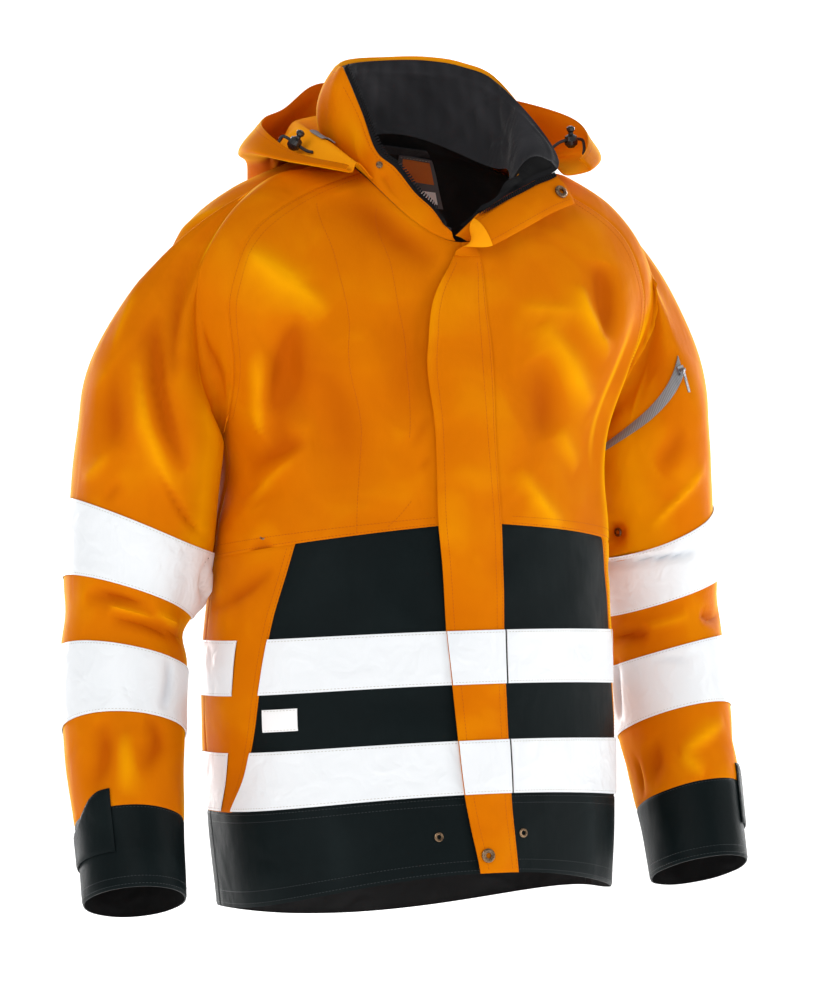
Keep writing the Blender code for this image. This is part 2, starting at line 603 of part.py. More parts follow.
LINING_STEPS = 16
LABEL_ROWS = (0.0805, 0.1215)
LOOP_ROWS = (0.0665, 0.0765)
BEHIND = LINING + CLOTH + SEAM      # what is sewn on the inside of the lining starts this deep
LOOP_BULGE = np.array([[0.0, 0.002, 0.003, 0.002, 0.0]])


def lining_edge(drop):
    """Angle of the back lining's left edge."""
    return back_edge(drop) + 2.0


def lining_step(steps):
    """The angle so many of the lining's columns to the left of its middle."""
    return lambda drop: 180.0 - (180.0 - lining_edge(drop)) * steps / (0.5 * LINING_STEPS)


panel("body_lining", body, (*LOOP_ROWS, *LABEL_ROWS, 0.158, 0.189),
      across(lining_edge, lambda drop: 360.0 - lining_edge(drop), LINING_STEPS), -LINING - CLOTH,
      -LINING, "body_lining", trim="")
panel("neck_label", body, LABEL_ROWS, across(lining_step(3), lining_step(1), 2), -BEHIND - TRIM, -BEHIND,
      "label_cloth", trim="")
panel("hanger_loop", body, LOOP_ROWS, across(lining_step(3), lining_step(-1), 4), -BEHIND - TRIM - LOOP_BULGE,
      -BEHIND - LOOP_BULGE, "body_lining", trim="")

# ---------------------------------------------------------------- storm flap and body tapes
FLAP_ROWS = (0.074, *UPPER_ROWS[2:], *LOWER_ROWS[1:], *BAND_ROWS[1:])
FLAP_COLUMNS = 4
FLAP_LIFT = 0.0026      # the free edge of the flap lies on the right front's tapes
FLAP_DROP = 0.0017      # its seam lies that much nearer to the cloth


def flap_free(drop):
    """Angle of the storm flap's free edge."""
    return float(through(FLAP["drop"], FLAP["free"], drop))


def flap_seam(drop):
    """Angle of the storm flap's seam."""
    return float(through(FLAP["drop"], FLAP["seam"], drop))


def over(rows, start):
    """The flap's stand-off: near the cloth at its seam, over the tapes at its free edge."""
    share = np.linspace(0.0, 1.0, FLAP_COLUMNS + 1)
    lift = FLAP_LIFT - FLAP_DROP * smoothstep(0.5, 1.0, share)
    return np.tile(lift + start, (len(rows), 1))


panel("storm_flap", front, FLAP_ROWS, across(flap_free, flap_seam, FLAP_COLUMNS),
      over(FLAP_ROWS, 0.0), over(FLAP_ROWS, CLOTH), "orange_shell")

for number, top in ((1, TAPE_1), (2, TAPE_2)):
    name = "body_tape_%d_" % number
    rows = spread(top, top + TAPE_BODY, 2)
    flap_start = CLOTH + LIFT
    panel(name + "right", body, rows, front_tape(RIGHT, lambda drop: -2.0), LIFT, TOUCH,
          "reflective", trim="tb")
    panel(name + "left", body, rows, front_tape(LEFT, lambda drop: flap_seam(drop) + 0.8), LIFT, TOUCH,
          "reflective", trim="tb")
    panel(name + "back", body, rows, back_tape, LIFT, TOUCH, "reflective", trim="tb")
    panel(name + "flap", front, rows, across(flap_free, flap_seam, FLAP_COLUMNS),
          over(rows, flap_start), over(rows, flap_start + TRIM), "reflective", trim="tb")

panel("pocket_patch", front, (0.4856, 0.5060), across(-61.6, -48.8, 2), LIFT, TOUCH, "white_patch",
      trim="")

# ---------------------------------------------------------------- sleeves
HALF_TURN = NECK_SHARE + (180.0 - NECK_SHARE) * SHOULDER_RUN
SLEEVE_TURNS = np.concatenate([[0.0], HALF_TURN, 360.0 - HALF_TURN[-2::-1]])
TAB_TURNS = np.concatenate([-HALF_TURN[2::-1], [0.0], HALF_TURN[:2]])
TAB_END = CUFF_END - 0.034
TAB_ROOT = 0.385        # the tab's upper edge at its sewn end


def round_sleeve(along):
    """The same columns at every ring of a sleeve."""
    return SLEEVE_TURNS


for side, hand in ((RIGHT, "right"), (LEFT, "left")):
    surface = sleeve(side)
    first, second = SLEEVE_TAPES[side]
    rows = (spread(-CAP, 0.0, 6) + spread(0.0, first, 2)[1:] + spread(first, first + TAPE_SLEEVE, 2)[1:]
            + (second,) + spread(second, second + TAPE_SLEEVE, 2)[1:]
            + spread(second + TAPE_SLEEVE, CUFF_TOP, 2)[1:])
    panel("sleeve_" + hand, surface, rows, round_sleeve, -CLOTH, 0.0, "orange_shell", turn=-side, ring=True)
    panel("cuff_" + hand, surface, spread(CUFF_TOP, CUFF_END, 2), round_sleeve, -CLOTH, 0.0,
          "black_shell", turn=-side, ring=True)
    for number, top in ((1, first), (2, second)):
        panel("sleeve_tape_%d_%s" % (number, hand), surface, spread(top, top + TAPE_SLEEVE, 2),
              round_sleeve, LIFT, TOUCH, "reflective", turn=-side, ring=True)

    def cuff_tab(angle, way, surface=surface):
        """The tab on the cuff: its upper edge rises to a tip above the cuff's edge."""
        top = TAB_ROOT - (TAB_ROOT - TAB_TOP) * smoothstep(-10.0, 40.0, angle)
        return surface(angle, top + (TAB_END - top) * way)

    panel("cuff_tab_" + hand, cuff_tab, (0.0, 0.5, 1.0), lambda way: TAB_TURNS, LIFT, TOUCH + 0.0004,
          "black_shell", turn=-side, trim="")

# ---------------------------------------------------------------- neck: collar, lapels, wing, hood
right_front = (side_edge(NECK) * (1.0 - front_shares(BLOCK_TOP)))[-2::-1]
back_ring = np.linspace(back_edge(NECK), 360.0 - back_edge(NECK), BACK_STEPS + 1)
sleeve_middle = 0.5 * (side_edge(NECK) + back_edge(NECK))
NECK_ROUNDS = np.concatenate([[4.0], right_front, [sleeve_middle], back_ring, [360.0 - sleeve_middle],
                              360.0 - right_front[::-1], [356.0]])
COLLAR_END = NECK_ROUNDS[-9]        # the collar ends here on the left; the left front edge follows
COLLAR_CORNER = 84.0                # the collar's corner above the right front edge


def rounds(low, high):
    """The neck's columns between two angles, for pieces that start or end between them too."""
    inside = NECK_ROUNDS[(NECK_ROUNDS > low + 0.5) & (NECK_ROUNDS < high - 0.5)]
    picked = np.concatenate([[low], inside, [high]])
    return lambda height: picked


INNER = 1.5 * CLOTH                # from the collar's face to its lining
BAND_HEIGHTS = (0.0, 0.25, 0.5, 0.75, 1.0)
panel("collar", neck_band, BAND_HEIGHTS, rounds(4.0, COLLAR_END), -CLOTH, 0.0, "orange_shell")
panel("collar_lining", neck_band, BAND_HEIGHTS, rounds(NECK_ROUNDS[1], COLLAR_END), -INNER - CLOTH,
      -INNER, "collar_lining")
panel("front_edge_left", neck_band, BAND_HEIGHTS, rounds(COLLAR_END, 356.0), -CLOTH, 0.0, "orange_shell")
panel("facing_left", neck_band, BAND_HEIGHTS, rounds(COLLAR_END, NECK_ROUNDS[-2]), -INNER - CLOTH,
      -INNER, "body_lining")
panel("storm_flap_wing", flap_wing, spread(0.0, 1.0, 3), rounds(COLLAR_END + 1.0, 344.0), -CLOTH, 0.0,
      "orange_shell", turn=-1.0, trim="")
ZIP_WIDTH = 0.005
panel("zip_tape_right", band_edge, (1.5 * SEAM, ZIP_WIDTH), rounds(8.0, COLLAR_CORNER),
      -CLOTH - SEAM - TRIM, -CLOTH - SEAM, "black_shell", trim="")
ZIP_SEAT = INNER + CLOTH + LIFT     # on the left the zip lies on the facing, which is turned out
panel("zip_tape_left", band_edge, (-ZIP_WIDTH, -SEAM), rounds(COLLAR_END + 1.0, 350.0),
      -ZIP_SEAT - TRIM, -ZIP_SEAT, "black_shell", trim="")

STRAP_ENDS = (80.0, sleeve_middle)
hood_columns = np.sort(np.append(rounds(right_front[-2], 360.0 - side_edge(NECK))(0.0), STRAP_ENDS[0]))
panel("hood", hood, spread(0.0, 1.0, 8), lambda way: hood_columns, -CLOTH, 0.0, "orange_shell", trim="")
panel("hood_strap", hood, (0.125, 0.25), across(*STRAP_ENDS, 1), -CLOTH - LIFT - TRIM, -CLOTH - LIFT,
      "grey_tape", trim="")

# ---------------------------------------------------------------- hard pieces: helpers


def turned(name, place, axis, profile, slot, steps=16, closed=False):
    """A body of revolution: profile gives (radius, height) from the bottom up; closed profiles are
    rings, others end on the axis."""
    axis = np.asarray(axis, float) / np.linalg.norm(axis)
    aside = unit(np.cross(axis, [0.3, 0.5, 0.81]))
    other = np.cross(axis, aside)
    points = []
    for radius, height in profile:
        for step in range(steps):
            turn = 2.0 * np.pi * step / steps
            points.append(place + axis * height + radius * (aside * np.cos(turn) + other * np.sin(turn)))
    faces = []
    count = len(profile)
    for row in range(count if closed else count - 1):
        for step in range(steps):
            a = row * steps + step
            b = row * steps + (step + 1) % steps
            shift = ((row + 1) % count - row) * steps
            faces.append((a, b, b + shift, a + shift))
    if not closed:
        faces.append(tuple(range(steps)))
        faces.append(tuple(range(len(points) - steps, len(points))))
    return solid(name, points, faces, slot)


def brick(name, place, sides, directions, slot):
    """A box with its middle at place, its sides along three directions."""
    corners = []
    for i in (-0.5, 0.5):
        for j in (-0.5, 0.5):
            for k in (-0.5, 0.5):
                corners.append(place + i * sides[0] * directions[0] + j * sides[1] * directions[1]
                               + k * sides[2] * directions[2])
    faces = [(0, 1, 3, 2), (4, 6, 7, 5), (0, 4, 5, 1), (2, 3, 7, 6), (0, 2, 6, 4), (1, 5, 7, 3)]
    return solid(name, corners, faces, slot)


def combined(base, others, operation):
    """The base after an exact Boolean with each of the others, which are used up."""
    for other in others:
        change = base.modifiers.new("cut", "BOOLEAN")
        change.object = other
        change.operation = operation
        change.solver = "EXACT"
    seen = bpy.context.evaluated_depsgraph_get()
    base.data = bpy.data.meshes.new_from_object(base.evaluated_get(seen))
    base.modifiers.clear()
    for other in others:
        bpy.data.objects.remove(other, do_unlink=True)
    return base


# ---------------------------------------------------------------- eyelets and snaps
EYELET = ((0.0022, 0.0), (0.0044, 0.0), (0.0044, 0.0005), (0.0034, 0.0012), (0.0022, 0.0010))
SNAP_RING = ((0.0028, 0.0), (0.0066, 0.0), (0.0066, 0.0014), (0.0052, 0.0024), (0.0028, 0.0020))
STUD = ((0.0032, 0.0), (0.0032, 0.0010), (0.0024, 0.0014), (0.0024, 0.0034), (0.0012, 0.0040))
SEAT = 0.0008           # hard pieces stand this far off the facets under them


def seated(carrier, surface, u, v, turn):
    """The point on a built piece under (u, v) of its surface, and the way out of it there."""
    bpy.context.view_layer.update()
    place, normal, _, _ = frame_at(surface, u, v, 0.020, turn)
    hit, point, facing, _ = bpy.data.objects[carrier].ray_cast(place, -normal)
    if not hit:
        raise ValueError("nothing of %s under its hard piece" % carrier)
    return np.array(point), np.array(facing)


for name, carrier, surface, u, v, turn, profile, closed in (
        ("eyelet_hem_right", "hem_band_right", body, -11.1, 0.611, 1.0, EYELET, True),
        ("eyelet_hem_left", "hem_band_left", body, 11.8, 0.611, 1.0, EYELET, True),
        ("eyelet_side_right", "front_upper_right", body, -66.0, 0.327, 1.0, EYELET, True),
        ("eyelet_sleeve_left", "sleeve_left", sleeve(LEFT), 152.0, 0.078, -1.0, EYELET, True),
        ("snap_flap_bottom", "storm_flap", front, 0.7, 0.631, 1.0, SNAP_RING, True),
        ("snap_flap_top", "storm_flap_wing", flap_wing, 308.6, 0.62, -1.0, SNAP_RING, True),
        ("snap_collar_right", "collar", neck_band, 60.0, 0.66, 1.0, STUD, False)):
    point, facing = seated(carrier, surface, u, v, turn)
    turned(name, point + facing * SEAT, facing, profile, "dark_metal", 16, closed)

# ---------------------------------------------------------------- hood cords and their locks
CORD_RADIUS = 0.0015
LOCK_PROFILE = ((0.0030, -0.0070), (0.0062, -0.0040), (0.0066, 0.0), (0.0058, 0.0042), (0.0026, 0.0062),
                (0.0024, 0.0080), (0.0040, 0.0100), (0.0040, 0.0125), (0.0018, 0.0140))
CORDS = {
    "right": ((-0.1233, -0.0588, 0.0271), (-0.1290, -0.0540, 0.0295), (-0.1450, -0.0440, 0.0425),
              (-0.1495, -0.0415, 0.0385), (-0.1515, -0.0395, 0.0310)),
    "left": ((0.1230, -0.0476, 0.0297), (0.1420, -0.0465, 0.0425), (0.1640, -0.0435, 0.0455),
             (0.1680, -0.0430, 0.0390), (0.1675, -0.0425, 0.0310)),
}
DRILL = (0.0020, 0.012)     # radius and half length of the cord's way through its lock
LOCK_UP = {"right": (-0.55, 0.24, 0.80), "left": (0.27, -0.12, 0.95)}
for hand, route in CORDS.items():
    curve = bpy.data.curves.new("hood_cord_" + hand, "CURVE")
    curve.dimensions = "3D"
    curve.bevel_depth = CORD_RADIUS
    curve.bevel_resolution = 2
    curve.use_fill_caps = True
    line = curve.splines.new("POLY")
    line.points.add(len(route) - 1)
    for point, place in zip(line.points, route):
        point.co = (*place, 1.0)
    cord = bpy.data.objects.new("hood_cord_" + hand, curve)
    bpy.context.collection.objects.link(cord)
    curve.materials.append(finish("black_cord"))

    before = np.array(route[1])
    after = np.array(route[2])
    middle = 0.5 * (before + after)
    bore = unit(after - before)
    upright = np.array(LOCK_UP[hand])
    upright = unit(upright - bore * np.dot(upright, bore))
    lock = turned("cord_lock_" + hand, middle, upright, LOCK_PROFILE, "black_plastic")
    drill = turned("drill", middle - bore * DRILL[1], bore, ((DRILL[0], 0.0), (DRILL[0], 2.0 * DRILL[1])),
                   "black_plastic", 12)
    combined(lock, [drill], "DIFFERENCE")

# ---------------------------------------------------------------- pocket zip on the left sleeve
SLEEVE_ZIP = {
    "way":   (0.0, 0.30, 0.60, 0.82, 1.0),
    "angle": (173.0, 144.0, 115.0, 93.0, 78.0),
    "along": (-0.005, -0.028, -0.037, -0.041, -0.044),
}
ZIP_BAND = 0.012
left_sleeve = sleeve(LEFT)


def sleeve_zip(way, across_band):
    """A point of the zip on the left sleeve: way from its lower to its upper end, metres across it."""
    angle = through(SLEEVE_ZIP["way"], SLEEVE_ZIP["angle"], way)
    return left_sleeve(angle, through(SLEEVE_ZIP["way"], SLEEVE_ZIP["along"], way) + across_band)


panel("sleeve_zip", sleeve_zip, (-0.5 * ZIP_BAND, 0.5 * ZIP_BAND), across(0.0, 1.0, 12), LIFT, TOUCH,
      "grey_tape", trim="")

PULL_AXIS = unit(np.array([0.877, -0.390, 0.29]))
PIN_STAND = 0.0042
SLIDER = (0.0072, 0.0085, 0.0018)       # across, along the zip, thick
PIN_RADIUS = 0.0007
TAB_LENGTH = 0.021
seat, normal, _, _ = frame_at(sleeve_zip, 0.955, 0.0, TOUCH + SEAM + 0.5 * SLIDER[2] + 0.0003)
onward = unit(np.cross(normal, PULL_AXIS))
sideways = unit(np.cross(onward, normal))
pin = seat + normal * PIN_STAND
slider = brick("sleeve_zip_slider", seat, SLIDER, (sideways, onward, normal), "dark_metal")
LUG_GAP = 0.0032
LUG = (0.0010, 0.0026, PIN_STAND + 0.0008)
lugs = [brick("lug", seat + sideways * (sign * 0.5 * (LUG_GAP + LUG[0])) + normal * (0.5 * LUG[2]), LUG,
              (sideways, onward, normal), "dark_metal") for sign in (-1, 1)]
axle = turned("axle", pin - sideways * (0.5 * LUG_GAP + 0.6 * LUG[0]), sideways,
              ((PIN_RADIUS, 0.0), (PIN_RADIUS, LUG_GAP + 1.2 * LUG[0])), "dark_metal", 12)
combined(slider, [*lugs, axle], "UNION")

TAB_WIDTH = 0.0024
EYE = ((PIN_RADIUS + 0.0004, 0.0), (0.0021, 0.0), (0.0021, TAB_WIDTH), (PIN_RADIUS + 0.0004, TAB_WIDTH))
hang = unit(np.array([0.0, 0.0, -1.0]) + sideways * sideways[2])
eye = turned("sleeve_zip_pull", pin - sideways * (0.5 * TAB_WIDTH), sideways, EYE, "dark_metal", 16, True)
stem = brick("stem", pin + hang * (0.0017 + 0.5 * TAB_LENGTH), (TAB_WIDTH, TAB_LENGTH, 0.0012),
             (sideways, hang, unit(np.cross(sideways, hang))), "dark_metal")
combined(eye, [stem], "UNION")
eye.data.transform(Matrix.Translation(-Vector(pin)))      # the tab's origin is on its hinge
eye.location = pin
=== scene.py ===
import bpy
import numpy as np
from mathutils import Matrix, Vector


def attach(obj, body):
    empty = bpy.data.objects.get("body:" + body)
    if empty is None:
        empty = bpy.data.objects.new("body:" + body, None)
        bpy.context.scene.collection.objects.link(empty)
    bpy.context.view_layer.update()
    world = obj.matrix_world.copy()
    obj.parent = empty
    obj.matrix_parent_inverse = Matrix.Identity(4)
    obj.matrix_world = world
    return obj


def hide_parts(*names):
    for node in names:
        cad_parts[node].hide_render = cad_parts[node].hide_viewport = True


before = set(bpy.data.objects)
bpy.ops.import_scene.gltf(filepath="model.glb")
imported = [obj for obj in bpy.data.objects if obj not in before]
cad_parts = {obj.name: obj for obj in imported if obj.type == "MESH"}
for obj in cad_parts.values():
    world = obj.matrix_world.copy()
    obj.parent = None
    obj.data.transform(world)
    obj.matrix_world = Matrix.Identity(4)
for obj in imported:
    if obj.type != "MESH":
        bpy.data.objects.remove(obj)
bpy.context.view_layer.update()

# ---------------------------------------------------------------- camera
# Level with the chest, 24 degrees round to the wearer's right, with a long lens so that the jacket's
# sides stay nearly parallel.
CAMERA_ROUND = np.radians(24.0)
CAMERA_ROLL = np.radians(1.0)
CAMERA_PLACE = (-1.7107, -3.8369, -0.30)
ahead = np.array([np.sin(CAMERA_ROUND), np.cos(CAMERA_ROUND), 0.0])
level = np.array([np.cos(CAMERA_ROUND), -np.sin(CAMERA_ROUND), 0.0])
upward = np.array([0.0, 0.0, 1.0])
view_right = level * np.cos(CAMERA_ROLL) - upward * np.sin(CAMERA_ROLL)
view_up = level * np.sin(CAMERA_ROLL) + upward * np.cos(CAMERA_ROLL)
lens = bpy.data.cameras.new("camera")
lens.sensor_fit = "HORIZONTAL"
lens.sensor_width = 36.0
lens.lens = 191.74
lens.clip_end = 50.0
camera = bpy.data.objects.new("camera", lens)
bpy.context.collection.objects.link(camera)
turned = np.stack([view_right, view_up, -ahead], -1)
camera.matrix_world = Matrix([(*row, place) for row, place in zip(turned, CAMERA_PLACE)] + [(0, 0, 0, 1)])
bpy.context.scene.camera = camera

# ---------------------------------------------------------------- hood cords
# Two short ends of 3 mm braided cord that come out of the hood's front edge and go through a spring
# lock each. The braid is a bump that winds round the cord both ways.
CORD_WIDTH = 0.003
CORD_ROUTES = {
    "right": ((-0.1233, -0.0588, 0.0271), (-0.1290, -0.0540, 0.0295), (-0.1450, -0.0440, 0.0425),
              (-0.1495, -0.0415, 0.0385), (-0.1515, -0.0395, 0.0310)),
    "left": ((0.1230, -0.0476, 0.0297), (0.1420, -0.0465, 0.0425), (0.1640, -0.0435, 0.0455),
             (0.1680, -0.0430, 0.0390), (0.1675, -0.0425, 0.0310)),
}


def cubic(t, start, leaving, end, arriving):
    """A cubic from start to end as t goes from 0 to 1, with the slopes leaving and arriving."""
    return ((1 + 2 * t) * (1 - t) ** 2 * start + t * (1 - t) ** 2 * leaving
            + t * t * (3 - 2 * t) * end + t * t * (t - 1) * arriving)


def running(points):
    """The length run at each point of a line of points, from its first."""
    return np.append(0.0, np.cumsum(np.linalg.norm(np.diff(points, axis=0), axis=1)))


def smooth_route(points, steps):
    """A curve through the points: cubic pieces whose slopes are the neighbours' differences, cut into
    equal lengths."""
    points = np.asarray(points, float)
    slopes = np.gradient(points, axis=0)
    at = np.linspace(0.0, len(points) - 1.0, 200)
    i = np.clip(at.astype(int), 0, len(points) - 2)
    t = (at - i)[:, None]
    fine = cubic(t, points[i], slopes[i], points[i + 1], slopes[i + 1])
    run = running(fine)
    even = np.linspace(0.0, run[-1], steps)
    return np.stack([np.interp(even, run, fine[:, k]) for k in range(3)], -1), run[-1]


def unit(vectors):
    """The vectors, made one long."""
    return vectors / np.maximum(np.linalg.norm(vectors, axis=-1, keepdims=True), 1e-12)


def smooth_mesh(name, points, faces, materials, face_slots=None, corner_uv=None, sharp=50.0):
    """A mesh object of quads with smooth shading and sharp edges above an angle; turned inside out
    when its volume comes out negative."""
    faces = np.asarray(faces, np.int32)
    p = points[faces]
    volume = np.einsum("ij,ij->", p[:, 0], np.cross(p[:, 1], p[:, 2]) + np.cross(p[:, 2], p[:, 3]))
    if volume < 0:
        faces = faces[:, ::-1]
        corner_uv = None if corner_uv is None else corner_uv[:, ::-1]
    mesh = bpy.data.meshes.new(name)
    mesh.vertices.add(len(points))
    mesh.vertices.foreach_set("co", np.ascontiguousarray(points, np.float32).ravel())
    mesh.loops.add(faces.size)
    mesh.loops.foreach_set("vertex_index", np.ascontiguousarray(faces).ravel())
    mesh.polygons.add(len(faces))
    mesh.polygons.foreach_set("loop_start", np.arange(0, faces.size, 4, dtype=np.int32))
    for material in materials:
        mesh.materials.append(material)
    if face_slots is not None:
        mesh.polygons.foreach_set("material_index", np.asarray(face_slots, np.int32))
    mesh.update(calc_edges=True)
    if corner_uv is not None:
        layer = mesh.uv_layers.new(name="cloth")
        layer.uv.foreach_set("vector", np.ascontiguousarray(corner_uv, np.float32).ravel())
    mesh.shade_smooth()
    mesh.set_sharp_from_angle(angle=np.radians(sharp))
    piece = bpy.data.objects.new(name, mesh)
    bpy.context.collection.objects.link(piece)
    return piece


def tube(name, path, radius, materials, sides=16):
    """A round tube along a path, its ends rounded off: rings square to the path, and two more rings
    at each end that close it."""
    along = unit(np.gradient(path, axis=0))
    aside = unit(np.cross(along, [0.31, 0.22, 0.92]))
    other = np.cross(along, aside)
    ends = (0.02, 0.7)
    past = radius * np.array([[0.6], [0.3]])
    centres = np.concatenate([path[:1] - along[:1] * past, path, path[-1:] + along[-1:] * past[::-1]])
    widths = radius * np.concatenate([ends, np.ones(len(path)), ends[::-1]])
    aside = np.concatenate([aside[:1], aside[:1], aside, aside[-1:], aside[-1:]])
    other = np.concatenate([other[:1], other[:1], other, other[-1:], other[-1:]])
    turn = 2.0 * np.pi * np.arange(sides) / sides
    spokes = aside[:, None] * np.cos(turn)[None, :, None] + other[:, None] * np.sin(turn)[None, :, None]
    rings = centres[:, None] + widths[:, None, None] * spokes
    rows = len(rings)
    index = np.arange(rows * sides).reshape(rows, sides)
    wrap = np.concatenate([index, index[:, :1]], 1)
    around = np.linspace(0.0, 1.0, sides + 1)
    uv = np.stack(np.broadcast_arrays(around[None, :], running(centres)[:, None]), -1)
    faces = np.stack([wrap[:-1, :-1], wrap[:-1, 1:], wrap[1:, 1:], wrap[1:, :-1]], -1).reshape(-1, 4)
    corners = np.stack([uv[:-1, :-1], uv[:-1, 1:], uv[1:, 1:], uv[1:, :-1]], 2).reshape(-1, 4, 2)
    points = rings.reshape(-1, 3)
    half = sides // 2
    lids = np.array([(k, k + 1, sides - 2 - k, (sides - 1 - k) % sides) for k in range(half - 1)])
    lid_faces = np.concatenate([lids[:, ::-1], lids + (rows - 1) * sides])
    faces = np.concatenate([faces, lid_faces])
    corners = np.concatenate([corners, np.zeros((len(lid_faces), 4, 2))])
    return smooth_mesh(name, points, faces, materials, None, corners)


def new_material(name, colour, roughness, metallic=0.0, specular=0.5):
    """A material with a Principled shader, whose plain numbers stand on its own sockets."""
    material = bpy.data.materials.new(name)
    material.use_nodes = True
    shader = material.node_tree.nodes["Principled BSDF"]
    shader.inputs["Base Color"].default_value = (*colour, 1.0)
    shader.inputs["Roughness"].default_value = roughness
    shader.inputs["Metallic"].default_value = metallic
    shader.inputs["Specular IOR Level"].default_value = specular
    return material, material.node_tree, shader


def add(tree, kind, settings=(), **inputs):
    """A node of that kind, with its settings and with values or links on its inputs, which are named
    (underscores for spaces) or numbered (i0, i1 and so on)."""
    node = tree.nodes.new(kind)
    for name, value in dict(settings).items():
        setattr(node, name, value)
    for name, value in inputs.items():
        numbered = name[0] == "i" and name[1:].isdigit()
        socket = node.inputs[int(name[1:]) if numbered else name.replace("_", " ")]
        if isinstance(value, bpy.types.NodeSocket):
            tree.links.new(value, socket)
        else:
            socket.default_value = value
    return node


cord_black, cord_tree, cord_shader = new_material("braided_cord", (0.012, 0.012, 0.013), 0.62)
cord_uv = add(cord_tree, "ShaderNodeUVMap", {"uv_map": "cloth"})
leans = [add(cord_tree, "ShaderNodeMapping", {}, Vector=cord_uv.outputs["UV"], Scale=(1.0, 260.0, 1.0),
             Rotation=(0.0, 0.0, lean)) for lean in (0.7, -0.7)]
strands = [add(cord_tree, "ShaderNodeTexWave", {"wave_type": "BANDS", "bands_direction": "X"},
               Vector=lean.outputs["Vector"], Scale=1.9) for lean in leans]
crossing = add(cord_tree, "ShaderNodeMath", {"operation": "MAXIMUM"}, i0=strands[0].outputs["Fac"],
               i1=strands[1].outputs["Fac"])
braid = add(cord_tree, "ShaderNodeBump", {}, Strength=0.6, Distance=0.0003,
            Height=crossing.outputs["Value"])
cord_tree.links.new(braid.outputs["Normal"], cord_shader.inputs["Normal"])
# The cord's colour follows the braid's bump: painted shade between the strands and lighter on them.
braid_painted_shade = add(cord_tree, "ShaderNodeValToRGB", {}, Fac=crossing.outputs["Value"])
braid_painted_shade.color_ramp.elements[0].color = (0.006, 0.006, 0.006, 1.0)
braid_painted_shade.color_ramp.elements[1].color = (0.028, 0.028, 0.030, 1.0)
cord_tree.links.new(braid_painted_shade.outputs["Color"], cord_shader.inputs["Base Color"])

for hand, route in CORD_ROUTES.items():
    path, length = smooth_route(route, 30)
    cord = tube("hood_cord_end_" + hand, path, 0.5 * CORD_WIDTH, [cord_black])
    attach(cord, "jacket")
    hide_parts("hood_cord_" + hand)

# ---------------------------------------------------------------- cloth finishes
# The shell is a fluorescent orange polyester twill with a coated back, its inside face painted lighter
# than its outside as painted light where little light reaches; the blocks, hem and cuffs are the same
# cloth in black; the linings are a dull woven polyester. Every cloth is painted darker in its fold
# troughs and lighter on its ridges: painted shade and painted highlight. One group gives the twill's
# ribs, one the small creases that handling leaves and the painted shade that follows them.


def group(name, inputs, outputs):
    """A shader node group with named float inputs and named outputs, and its two end nodes."""
    tree = bpy.data.node_groups.new(name, "ShaderNodeTree")
    for socket, value in inputs.items():
        made = tree.interface.new_socket(name=socket, in_out="INPUT", socket_type="NodeSocketFloat")
        made.default_value = value
    for socket, kind in outputs.items():
        tree.interface.new_socket(name=socket, in_out="OUTPUT", socket_type=kind)
    return tree, tree.nodes.new("NodeGroupInput"), tree.nodes.new("NodeGroupOutput")


twill, twill_in, twill_out = group("twill_ribs", {"Ribs per metre": 900.0}, {"Height": "NodeSocketFloat"})
twill_uv = add(twill, "ShaderNodeUVMap", {"uv_map": "cloth"})
rib = add(twill, "ShaderNodeTexWave", {"wave_type": "BANDS", "bands_direction": "DIAGONAL"},
          Vector=twill_uv.outputs["UV"], Scale=twill_in.outputs["Ribs per metre"], Distortion=0.4)
yarn = add(twill, "ShaderNodeTexNoise", {}, Vector=twill_uv.outputs["UV"], Scale=1400.0, Detail=1.0)
ribs = add(twill, "ShaderNodeMath", {"operation": "MULTIPLY"}, i0=rib.outputs["Fac"], i1=0.6)
rough_yarn = add(twill, "ShaderNodeMath", {"operation": "ADD"}, i0=ribs.outputs["Value"],
                 i1=yarn.outputs["Fac"])
twill.links.new(rough_yarn.outputs["Value"], twill_out.inputs["Height"])

handled, handled_in, handled_out = group("handling_creases", {"Size": 16.0, "Sharpness": 0.5},
                                         {"Height": "NodeSocketFloat", "Shade": "NodeSocketFloat"})
handled_at = add(handled, "ShaderNodeTexCoord")
broad = add(handled, "ShaderNodeTexNoise", {}, Vector=handled_at.outputs["Object"],
            Scale=handled_in.outputs["Size"], Detail=2.0, Roughness=handled_in.outputs["Sharpness"],
            Distortion=0.6)
stretched = add(handled, "ShaderNodeMapping", {}, Vector=handled_at.outputs["Object"],
                Scale=(1.0, 1.0, 0.35), Rotation=(0.0, 0.5, 0.0))
fine = add(handled, "ShaderNodeTexNoise", {}, Vector=stretched.outputs["Vector"], Scale=70.0, Detail=2.0)
fine_part = add(handled, "ShaderNodeMath", {"operation": "MULTIPLY"}, i0=fine.outputs["Fac"], i1=0.18)
both = add(handled, "ShaderNodeMath", {"operation": "ADD"}, i0=broad.outputs["Fac"],
           i1=fine_part.outputs["Value"])
handled.links.new(both.outputs["Value"], handled_out.inputs["Height"])
handled.links.new(broad.outputs["Fac"], handled_out.inputs["Shade"])


